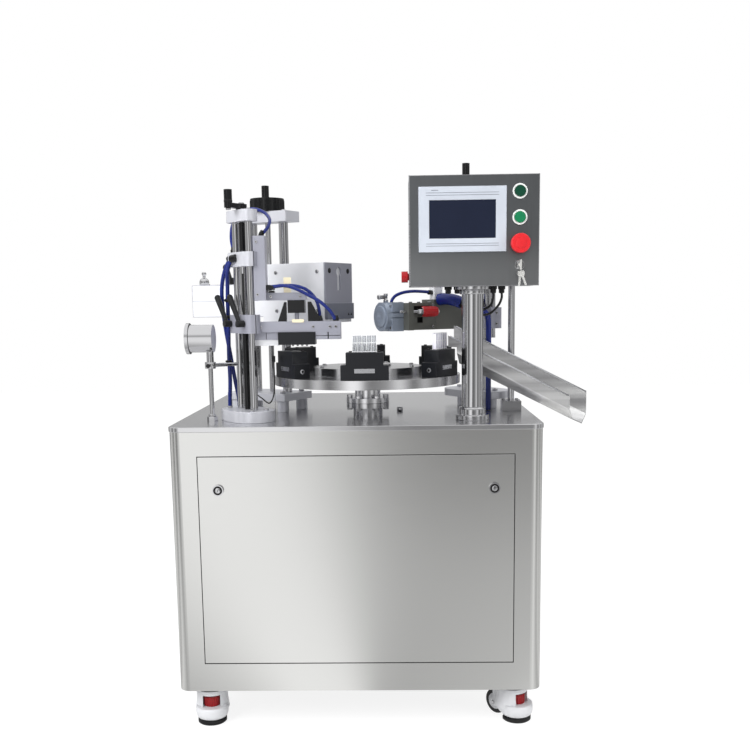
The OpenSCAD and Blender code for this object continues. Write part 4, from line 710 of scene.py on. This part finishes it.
# Trim of the lower arm: two gussets in front of the press, a cream strip between them, seams, screws, hose
# nuts and the five nozzle tips. All of it stands in front of the press, which it passes when the head rises.
arm_front, arm_top, gusset_back, gusset_top, strip_front = 112, 238, 117.5, 284, 109.6
left_gusset = [(-184, arm_top), (-162.5, arm_top), (-162.5, gusset_top), (-168, gusset_top)]
right_gusset = [(-112, arm_top), (-80, arm_top), (-104, gusset_top), (-112, gusset_top)]
nozzle_x, nozzle_y = -140, 130
nozzle_tip = [(3.4, 183), (3.4, 181.5), (2.3, 180.5), (2.3, 178.8), (1.2, 178.6)]
lower = bmesh.new()
for outline, near, far, paint in (
    (left_gusset, arm_front, gusset_back, black),
    (right_gusset, arm_front, gusset_back, black),
    (oblong(-150, -122, 235.5, 237.5), strip_front, arm_front, cream),
    (oblong(-150, -122, 237.5, 243), strip_front, 111.6, cream),
    (oblong(-66, -63.5, 196, 212), 109.4, 110, black),
    (oblong(-95, -35, 203.5, 204.6), 109.5, 110, black),
    (oblong(-214, -212.8, 196, 212), 116.6, 117.2, black),
):
    slab(lower, outline, near, far, front_view, paint)
for x in (-226, -100, -60, -46):
    screw(lower, hold(x, arm_front, 225, (0, -1, 0)), 3.4, 1.6, bright, black)
for x, y in ((-46, 118), (-85, 130)):
    turned(lower, hose_nut(7, 13), shift(table, x, y, arm_top), 6, black)
clamp_cuts(lower, 210.6, 255.4)
for i in range(tube_n):
    tip_x = nozzle_x + (i - (tube_n - 1) / 2) * tube_pitch
    turned(lower, nozzle_tip, shift(table, tip_x, nozzle_y), 16, bright)
put("fill_lower_fittings", lower, "fill_head", "black_metal", *trim_paints, ease=0.4)

# Bolts of the crank: a nut under the grip, one on the spindle, and a dark ring at the grip's foot. They are
# plain polished steel and turn with the crank.
crank_turn, crank_r = 240, 48
crank_seat = spin(shift(table, fill_x, fill_y), crank_turn)
crank_bolt = bmesh.new()
under_nut = spin(shift(crank_seat, crank_r, 0, 502.5), 180, "X")
turned(crank_bolt, [(6, 0), (6, 4), (5, 5.5), (0, 6)], under_nut, 6, 0)
turned(crank_bolt, [(7, 0), (7, 3), (4, 5), (0, 5.4)], shift(crank_seat, 0, 0, 513.5), 6, 0)
grip_ring = [(9.9, 515), (10.2, 517), (10.2, 518), (9.7, 520)]
turned(crank_bolt, grip_ring, shift(crank_seat, crank_r), 24, 1)
put("fill_crank_bolt", crank_bolt, "fill_crank", "polished_steel", polished, black_steel)


# Sensor cable: a thin black lead that leaves a plug at the foot, hangs in a bow and climbs a steel rod to
# the sensor beside the turntable.
def curve(p, q, r, t, u):
    bend, twist = 2 * p - 5 * q + 4 * r - t, 3 * q - p - 3 * r + t
    return 0.5 * (2 * q + (r - p) * u + bend * u**2 + twist * u**3)


def smooth(points, steps):
    """A route drawn through its points as one smooth curve."""
    made = []
    for i in range(len(points) - 1):
        a, b = points[max(i - 1, 0)], points[i]
        c, d = points[i + 1], points[min(i + 2, len(points) - 1)]
        for s in range(steps):
            made.append(Vector([curve(*four, s / steps) for four in zip(a, b, c, d)]))
    return made + [Vector(points[-1])]


def hose(shape, points, radius, sides=14, steps=6, paint=0):
    """A round line swept along a route of points in millimetres."""
    route = smooth(points, steps)
    rings = []
    side = Vector((0.6, -0.8, 0))
    for i, point in enumerate(route):
        along = (route[min(i + 1, len(route) - 1)] - route[max(i - 1, 0)]).normalized()
        side = (side - along * side.dot(along)).normalized()
        up = along.cross(side)
        spots = [point + radius * (math.cos(a) * side + math.sin(a) * up) for a in circle(sides)]
        rings.append([shape.verts.new(spot) for spot in spots])
    skin(shape, rings, sides, paint)


lead_route = [
    (-252, 150, 67), (-246, 150, 62), (-233, 150, 52), (-214, 150, 40), (-202, 150, 70), (-201, 150, 145),
]
lead_r, plug_x, sensor_x, lead_y, rod_y = 1.6, -252, -201, 150, 152
lead = bmesh.new()
hose(lead, lead_route, lead_r, 10)
turned(lead, [(5, 62), (6, 64), (6, 78), (4, 80)], shift(table, plug_x, lead_y), 16, 0)
turned(lead, [(3, 140), (3.6, 141), (3.6, 154), (3, 155)], shift(table, sensor_x, lead_y), 16, 0)
turned(lead, [(1, 0), (1, 141)], shift(table, sensor_x, rod_y), 10, 1)
put("sensor_lead", lead, "cabinet", "black_plastic", black_nylon, polished, ease=0.6)


# Sealing station: a white powder-coated housing on two columns, long tail behind, grey end plate with a
# key-hole, a black drum handwheel on top and a clamp lever and air dome on the tail.
dark_grey = painted("dark_grey_anodised", "#777a86", 0.34, 0.1, 0.8, 0.3)
seal_r, shaft_r, plate_step = 300, 9, 279.8


def crank_paint(seat, top):
    x, y = seat.translation.xy
    return lambda place, normal: 1 if place.z < top and math.hypot(place.x - x, place.y - y) < shaft_r else 0


drum_seat = shift(seal_seat, seal_r)
eased("weld_housing", 1.6, white_enamel)
eased("weld_handwheel", 1.5, black_steel, polished, pick=crank_paint(drum_seat, seal_top))
eased("weld_end_plate", 0.8, grey_anodised, dark_grey, pick=below(plate_step))
eased("weld_horn", 0.8, polished)
coat("weld_lever", black_nylon)
side_y, plug_r, plug_z = 62, 150, 262
housing_screws = ((105, 358), (232, 358), (232, 262), (105, 262))
# Grey strips on the side walls along the tail's top, bottom and end edges are painted shade that outlines
# it; one more runs along its middle.
edge_lines = (
    (290, 515, 288.4, 289.6), (276, 515, 247.2, 248.6), (276, 515, 330.4, 331.8), (513.2, 514.8, 248, 331),
)
round_head = [(5.2, -0.2), (5.2, 1.2), (4.2, 2.2), (0, 2.4)]
plug = [(4.6, -0.1), (4.6, 0.3), (0, 0.35)]
dark, bright, edge_line_grey = range(3)
welds = bmesh.new()
for side in (-1, 1):
    wall = spin(shift(seal_seat, 0, side * side_y), -90 * side, "X")
    for r, z in housing_screws:
        spot = shift(wall, r, -side * z)
        turned(welds, round_head, spot, 24, bright)
        # Each head's slot is a dark plate on top of it, painted shade.
        slab(welds, oblong(-0.6, 0.6, -3.4, 3.4), 2.2, 2.5, spot, dark)
    for r0, r1, z0, z1 in edge_lines:
        slab(welds, oblong(r0, r1, *sorted((-side * z0, -side * z1))), -0.1, 0.12, wall, edge_line_grey)
    turned(welds, plug, shift(wall, plug_r, -side * plug_z), 24, dark)
plate, low_plate = [spin(shift(seal_seat, r), -90, "Y") for r in (81, 75)]
for y in (-42, 42):
    turned(welds, [(6.5, -0.1), (6.5, 0.25), (0, 0.3)], shift(plate, 360, y), 24, dark)
for y in (-46, -34):
    slab(welds, [(249, y - 4), (249, y + 4), (256, y)], -0.1, 0.3, low_plate, dark)
dome = shift(seal_seat, 500, 28, 332)
dome_profile = [
    (13, 0), (13, 10), (11, 16), (6, 20), (4, 20.5), (4, 27), (6, 28), (6, 34), (4, 36), (0, 36.4),
]
turned(welds, dome_profile, dome, 28, bright)
turned(welds, [(4, 8), (4, 20), (3, 21)], spin(dome, 90, "X"), 16, dark)
put("weld_fittings", welds, "weld_head", "white_paint", black_gap, polished, grey_anodised)

# Drum of the handwheel: turned black steel with fine flutes round its rim for the hand, and a bright nut on
# its spindle.
flute_n, drum_r = 36, 44
flute = [(0.9, 0), (1.1, 1), (1.1, 25), (0.9, 26)]
drum = bmesh.new()
for a in circle(flute_n):
    turned(drum, flute, shift(drum_seat, drum_r * math.cos(a), drum_r * math.sin(a), seal_top + 4), 8, 0)
turned(drum, [(9, 0), (9, 3), (6, 6), (0, 6.4)], shift(drum_seat, 0, 0, seal_top + 34.5), 6, 1)
put("weld_drum_flutes", drum, "weld_wheel", "black_plastic", black_steel, polished)


# Suction hood: a spun stainless can with a rolled rim, on a clamped upright rod. Its inside is drawn in dark
# grey, so the polished rim frames a dark mouth.
dark_inside = painted("sooted_steel", "#3b3a38", 0.45, 0.2, 2.0, 0.5)
hood_x, hood_y, hood_z, mouth_r, mouth_back = -350, 116, 200, 32, -340.5
clamp_z = 136


def hood_paint(place, normal):
    if math.hypot(place.y - hood_y, place.z - hood_z) >= mouth_r:
        return 0
    return 2 if place.x > mouth_back else 1


eased("hood_can", 0.8, polished, dark_inside, pale_anodised, pick=hood_paint)
eased("hood_post", 0.6, polished)
clamp = bmesh.new()
turned(clamp, [(12, 128), (13, 129), (13, 143), (12, 144)], shift(table, hood_x, hood_y), 24, 0)
thumb_screw = [(3, 0), (3, 14), (5, 15), (5, 20), (4, 21)]
turned(clamp, thumb_screw, hold(hood_x, hood_y - 12, clamp_z, (0, -1, 0)), 12, 1)
turned(clamp, [(9, 0), (9, 5), (8, 6)], shift(table, hood_x, hood_y, 12), 6, 0)
put("hood_clamp", clamp, "cabinet", "stainless", polished, black_nylon)


# Trimming station: an air cylinder of pale extruded alloy bolted to an olive anodised carriage on two
# columns, with a red stop knob on a chrome rod, a white valve and blue lines.
olive_anodised = painted("olive_anodised_aluminium", "#63645f", 0.34, 0.1, 0.8, 0.35)
cylinder_alloy = painted("extruded_alloy", "#98a2b2", 0.3, 0.1, 0.8, 0.4)
trim_back = trim_seat.inverted()
block_front, block_top, knob_y, knob_z, cap_r, cap_z = -36, 278, -50, 256, 40, 244


def cutter_paint(place, normal):
    spot = trim_back @ place
    in_window = 103 < spot.x < 173 and block_front + 0.2 < spot.y < -22 and 226 < spot.z < 271
    if spot.z > 286.3 and 183 < spot.x < 209:
        return 1
    if math.hypot(spot.x - trim_r, spot.y + 74) < 5.8:
        return 2
    # Faces inside the window take the shadow black, painted shade.
    if in_window:
        return 3
    return 4 if spot.x > 290 else 0


def knob_paint(place, normal):
    spot = trim_back @ place
    return 1 if math.hypot(spot.y - knob_y, spot.z - knob_z) < 3.6 and spot.x < 130 else 0


cutter_coats = (olive_anodised, white_enamel, polished, black_gap, grey_anodised)
eased("cut_carriage", 1.2, *cutter_coats, pick=cutter_paint)
eased("cut_cylinder", 2.2, cylinder_alloy)
eased("cut_knob", 2.0, red_abs, polished, pick=knob_paint)
eased("cut_crank", 1.2, black_steel, polished, pick=crank_paint(shift(trim_seat, trim_r), trim_top))
extras = bmesh.new()
for y in (-27, 27):
    for z in (cap_z - 27, cap_z + 27):
        screw(extras, spin(shift(trim_seat, 54, y, z), -90, "Y"), 4.5, 2)
cap_face = [(28, 0), (28, 1.2), (25, 2.4), (12, 2.8), (10, 1.4), (0, 1.2)]
turned(extras, cap_face, spin(shift(trim_seat, cap_r, 0, cap_z), -90, "Y"), 48, 2)
stem = shift(trim_seat, 60, 8, 280)
turned(extras, [(7, 0), (7, 6), (5, 7), (5, 16), (6, 17), (6, 22), (0, 22.5)], stem, 6)
side_arm = [(5, 0), (5, 16), (6, 17), (6, 22), (0, 22.4)]
turned(extras, side_arm, spin(shift(stem, 0, 0, 13), -90, "Y"), 16)
for r in (112, 168):
    for y in (-26, 26):
        screw(extras, shift(trim_seat, r, y, block_top), 4.5, 3)
for r, z in ((108, 218), (172, 218), (172, 272), (108, 274)):
    screw(extras, spin(shift(trim_seat, r, block_front, z), 90, "X"), 3.6, 1.6)
for z in (222, 250):
    screw(extras, spin(shift(trim_seat, trim_r, -88, z), 90, "X"), 4, 2)
turned(extras, [(6, 0), (6, 10), (4.6, 12)], spin(shift(trim_seat, 183, -14, 304), -90, "Y"), 16, 1)
turned(extras, [(9, 0), (9, 5), (7, 7), (7, 14), (0, 15)], shift(trim_seat, 196, -14, 322), 24)
put("cutter_fittings", extras, "cut_head", "polished_steel", polished, black_steel, cylinder_alloy)

# Ends of the stop knob: white nylon buttons at both ends of its rod, and fine ribs moulded round the red
# grip.
grip_n, grip_r = 18, 12
grip_rib = [(0.9, 134), (1.0, 135), (1.0, 169), (0.9, 170)]
rod = spin(shift(trim_seat, 0, knob_y, knob_z), 90, "Y")
knob_ends = bmesh.new()
turned(knob_ends, [(6, 172.4), (6, 179), (5, 180.5), (0, 181)], rod, 20, 0)
turned(knob_ends, [(6, 121), (6, 129.4)], rod, 20, 0)
for a in circle(grip_n):
    turned(knob_ends, grip_rib, shift(rod, grip_r * math.cos(a), grip_r * math.sin(a)), 6, 1)
put("knob_ends", knob_ends, "cut_knob", "red_plastic", white_nylon, red_abs)


# Chute: folded stainless sheet on a post, hemmed along its upper edges. It is mirror polished, and the
# shop's reflection in it is painted into its colour as long pale and dark streaks down the slope, by a noise
# stretched the same way.
chute_slope, painted_streak_mm = math.radians(27), (1667, 38.46, 38.46)
chute_steel, tree, shader = new_material("polished_chute_sheet")
down_slope = add(
    tree,
    "ShaderNodeMapping",
    {
        "Vector": add(tree, "ShaderNodeTexCoord").outputs["Object"],
        "Rotation": (0, -chute_slope, 0),
        "Scale": [1000 / mm for mm in painted_streak_mm],
    },
)
streak = add(tree, "ShaderNodeTexNoise", {"Vector": down_slope.outputs[0], "Scale": 1.0, "Detail": 3.0})
# Painted reflection: the streak noise sets the colour between mid grey and near white.
tone = add(tree, "ShaderNodeValToRGB", {0: streak.outputs[0]})
for stop, where, colour in zip(tone.color_ramp.elements, (0.36, 0.62), ("#b4b4b6", "#fafafa")):
    stop.position = where
    stop.color = linear(colour)
feed(tree, shader, {"Base Color": tone.outputs[0], "Metallic": 0.7, "Roughness": 0.16})
eased("chute", 0.6, chute_steel)
eased("chute_post", 1.0, polished)
chute_x, chute_z, hem_r = 305, 103, 2.2
slope_c, slope_s = math.cos(chute_slope), math.sin(chute_slope)
bolts = bmesh.new()
for x in (383, 401):
    turned(bolts, [(5, 0), (5, 4), (4, 5), (0, 5.2)], hold(x, 245, 121, (0, -1, 0)), 6)
for x in (375, 409):
    for y in (280, 314):
        screw(bolts, shift(table, x, y, 26), 4.5, 3.5)
for y, rise, first, last in ((143.2, 48, -112, 210), (240.8, 76, -104, 264)):
    ends = [
        (chute_x + u * slope_c + rise * slope_s, y, chute_z - u * slope_s + rise * slope_c)
        for u in (first, last)
    ]
    hose(bolts, ends, hem_r, 12, 2, 2)
put("chute_bolts", bolts, "cabinet", "polished_steel", polished, black_gap, bare_alu)


# Control box: brushed dark grey case on a flanged stainless post, its colour painted paler towards its foot
# as a painted reflection of the table. The door carries a touch panel, two green buttons, a red mushroom
# stop and a key lock.
box_steel = brushed("dark_brushed_box_steel", "#8a8d90", 0.34, (2, 125, 125), 0.12, 0.3)
tree = box_steel.node_tree
shader = tree.nodes["Principled BSDF"]
brush = shader.inputs["Base Color"].links[0].from_socket
place = add(tree, "ShaderNodeTexCoord").outputs["Object"]
height = add(tree, "ShaderNodeSeparateXYZ", {0: place}).outputs["Z"]
# Painted reflection: below this band the brushed colour is mixed towards a paler grey, for the table
# mirrored in the foot of the box.
reflection_low, reflection_high = at(0, 0, 330).z, at(0, 0, 440).z
reflection_fade = add(
    tree,
    "ShaderNodeMapRange",
    {"Value": height, "From Min": reflection_low, "From Max": reflection_high, "To Min": 1.0, "To Max": 0.0},
    interpolation_type="SMOOTHSTEP",
)
painted_reflection = add(tree, "ShaderNodeMix", {0: reflection_fade.outputs[0], 6: brush, 7: linear("#a3a5a7")}, data_type="RGBA")
feed(tree, shader, {"Base Color": painted_reflection.outputs[2]})
bezel_abs = painted("silver_moulded_abs", "#c3c9d3", 0.32, 0.05, 1.0)
screen_glass = painted("dark_screen_glass", "#1b2133", 0.08, 0.0, 5.0)
dark_green = painted("dark_green_acetal", "#08432f", 0.25, 0.03, 1.0)
light_green = painted("green_acetal", "#147a4e", 0.25, 0.03, 1.0)
stop_red = painted("bright_red_moulded_abs", "#d8232a", 0.3, 0.03, 1.0)
ring_white = painted("white_glossy_ring", "#f4f5f3", 0.25, 0.03, 1.0)
key_nickel = painted("nickel_plated_key", "#d9d9d6", 0.25, 0.05, 1.0, 0.35)
screen_front, screen_back, lock_ring_top = 56.4, 60, 385


def bezel_paint(place, normal):
    return 1 if screen_front < place.y < screen_back and abs(normal.y) > 0.9 else 0


eased("control_post", 1.2, polished)
eased("box_body", 1.2, box_steel)
eased("box_door", 1.6, box_steel)
eased("hmi_panel", 1.5, bezel_abs, screen_glass, pick=bezel_paint)
eased("button_bezels", 1.2, ring_white, polished, pick=below(lock_ring_top))
eased("start_button", 1.2, dark_green)
eased("run_button", 1.2, light_green)
eased("stop_button", 3.0, stop_red)
eased("side_button", 0.9, red_abs)
eased("lock_key", 0.5, key_nickel)

# Trim of the door: fine grey lines moulded across the bezel, and pale strips along the door's folded edge
# all round, a painted highlight. The stop button has a darker rim and a raised middle.
door_left, door_right, door_low, door_top, fold_front, fold_back = 129, 427, 314, 564, 62.2, 63
line_grey, painted_edge_highlight = 0, 1
door = bmesh.new()
for z in (524, 518.6, 410.5, 405.4):
    slab(door, oblong(168, 334, z - 0.5, z + 0.5), 55.85, 56.05, front_view, line_grey)
slab(door, oblong(180, 196, 529, 530.4), 55.9, 56.05, front_view, line_grey)
# Painted highlight: pale strips along the door's four edges.
for fold in (
    oblong(door_left, door_right, door_low, door_low + 1.6),
    oblong(door_left, door_left + 2.4, door_low, door_top),
    oblong(door_right - 1.6, door_right, door_low, door_top),
    oblong(door_left, door_right, door_top - 1.4, door_top),
):
    slab(door, fold, fold_front, fold_back, front_view, painted_edge_highlight)
put("door_trim", door, "box_door", "bezel_plastic", dark_grey, bare_alu)
button_x, stop_y, stop_z = 382, 50, 409
stop_seat = hold(button_x, stop_y, stop_z, (0, -1, 0))
stop_top = bmesh.new()
turned(stop_top, [(22.2, -2), (22.4, 4), (22.2, 11)], stop_seat, 48, 1)
turned(stop_top, [(12, 18), (12, 18.6), (11, 18.8), (0, 19)], stop_seat, 40, 0)
put("stop_rim", stop_top, "stop_button", "red_plastic", stop_red, red_abs)

# Keys: two nickel-plated keys that hang from a thin ring in the lock, each leaning its own way.
# They turn with the key in the lock.
key_y, key_z, key_ring_r, wire_r, key_half = 34, 352, 7, 0.7, 0.9
key_outline = [
    (-6, 0), (-7, -5), (-5, -11), (-2.4, -13), (-2.4, -32), (0, -35),
    (2.4, -32), (2.4, -13), (5, -11), (7, -5), (6, 0),
]
keys = bmesh.new()
key_ring = [
    (button_x, key_y + key_ring_r * math.cos(a), key_z + key_ring_r * math.sin(a)) for a in circle(16)
]
hose(keys, key_ring, wire_r, 8, 2)
for lean, y in ((-0.35, 33), (0.12, 36)):
    hang = shift(table, button_x, y, key_z - 6) @ Matrix.Rotation(lean, 4, "Y")
    slab(keys, key_outline, -key_half, key_half, spin(hang, 90, "X"), 0)
put("hanging_keys", keys, "lock_key", "key_metal", key_nickel, ease=0.2)

# Under the box: four black nylon glands, and two cables that bow from them into the post.
# The post has turned collars at both ends and four screws through its flange.
gland = [(9, 0), (9, 7), (7, 8), (7, 15), (5, 17)]
cable_r = 3
under = bmesh.new()
for x, y in ((222, 130), (245, 150), (330, 140), (352, 160)):
    turned(under, gland, hold(x, y, 315, (0, 0, -1)), 6)
for route in (
    [(330, 140, 300), (330, 141, 288), (326, 150, 272), (314, 158, 262), (300, 158, 258)],
    [(352, 160, 300), (352, 161, 286), (344, 166, 268), (324, 164, 250), (300, 150, 246)],
):
    hose(under, route, cable_r, 10)
put("box_glands", under, "cabinet", "black_plastic", black_nylon, ease=0.3)
post_x, post_y, flange_top, flange_bolt_r = 278, 109, 12, 36
post = shift(table, post_x, post_y)
collar = bmesh.new()
for k in range(4):
    a = math.pi / 4 + k * math.pi / 2
    screw(collar, shift(post, flange_bolt_r * math.cos(a), flange_bolt_r * math.sin(a), flange_top), 4, 3.4)
turned(collar, [(32, 26), (32, 27), (30, 30), (26, 31), (25.5, 31)], post, 64)
turned(collar, [(29, 296), (30, 298), (30, 306), (29, 307)], post, 64)
put("post_collars", collar, "cabinet", "stainless", polished, black_gap)


# Air lines: blue polyurethane hose, glossy and a little soft in its bends, held by push-in fittings and
# black cable ties.
blue_hose = painted("blue_polyurethane", "#13246f", 0.25, 0.03, 1.0)
riser_r, line_r, return_r, muffler_r = 5, 4, 7, 15
riser = [
    (-322, 210, 0.5), (-322, 210, 40), (-318, 200, 95), (-317, 189, 155), (-314.5, 183, 220),
    (-314, 181, 275), (-311, 169, 322), (-306, 146, 358), (-296, 130, 380), (-288, 122, 387),
    (-281, 119, 388),
]
second_riser = [
    (-300, 217, 0.5), (-300, 217, 40), (-308, 212, 95), (-316, 207, 155), (-325, 203, 220),
    (-330, 200, 275), (-330, 198.5, 320), (-322, 193, 356), (-308, 185, 384), (-298, 182, 392),
]
loop = [
    (-294.5, 175, 402.4), (-297, 182, 415), (-302, 194, 440), (-300, 206, 470), (-285, 212, 495),
    (-262, 208, 508), (-238, 200, 507), (-218, 186, 498), (-206, 166, 486),
    (-201, 146, 474), (-205, 130, 458), (-214, 122, 446), (-220, 120, 438.4),
]
arch = [
    (-208, 108, 318), (-188, 108, 321), (-165, 105, 322), (-140, 105, 315), (-112, 106, 301),
    (-84, 108, 285), (-62, 110, 265), (-50, 114, 247), (-46, 118, 238),
]
second_arch = [
    (-208, 128, 318), (-186, 128, 321), (-160, 126, 323), (-134, 126, 320), (-112, 127, 310),
    (-94, 128, 290), (-87, 129, 267), (-85, 130, 250), (-85, 130, 238),
]
cut_hose = [
    (86, 250, 280), (89, 252, 288), (98, 257, 297), (116, 266, 304),
    (140, 279, 307), (168, 298, 306), (190, 312.6, 304),
]
muffler = [(208, 306, 285), (222, 297, 287), (238, 288, 285), (252, 281, 281), (264, 276, 276)]
return_line = [
    (264, 276, 276), (276, 272, 271), (290, 272, 267), (306, 276, 262), (322, 284, 254),
    (332, 293, 236), (334, 298, 190), (334, 300, 120), (334, 300, 60), (334, 300, 1),
]


def lines(radius, *routes):
    shape = bmesh.new()
    for route in routes:
        hose(shape, route, radius)
    return shape


def bent(name, shape, node=None):
    """A line drawn where it stands as a piece of its own; the node it replaces, if any, is hidden."""
    piece = drawn(name, shape, (blue_hose, black_nylon))
    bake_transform(piece)
    if node:
        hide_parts(node)


risers = lines(riser_r, riser, second_riser)
tie_band = [(5.4, -4), (7.2, -3.4), (7.2, 3.4), (5.4, 4)]
tie_head = oblong(5, 9, -3, 1)
for x, y, z in ((-317.4, 191.5, 140), (-314.2, 182, 250), (-313.3, 178.8, 290)):
    turned(risers, tie_band, hold(x, y, z, (0, -0.12, 1)), 20, 1)
    slab(risers, tie_head, -1.5, 2.5, hold(x, y, z), 1)
bent("riser_lines", risers, "fill_hoses")
arches = lines(line_r, arch, second_arch)
bent("arch_lines", arches, "head_hoses")
loop_piece = put("loop_line", lines(line_r, loop), "fill_carriage", "hose_blue", blue_hose)
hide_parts("loop_hose")
cut_lines = lines(line_r, cut_hose)
hose(cut_lines, muffler, muffler_r, 24)
muffler_nut = [(6, 0), (12.5, 2), (12.5, 9), (8, 11), (8, 16)]
turned(cut_lines, muffler_nut, hold(262, 276.6, 277, (0.85, -0.35, -0.36)), 24, 1)
cut_piece = put("cutter_line", cut_lines, "cut_head", "hose_blue", blue_hose, black_nylon)
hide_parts("cutter_hoses")
bent("return_line", lines(return_r, return_line))
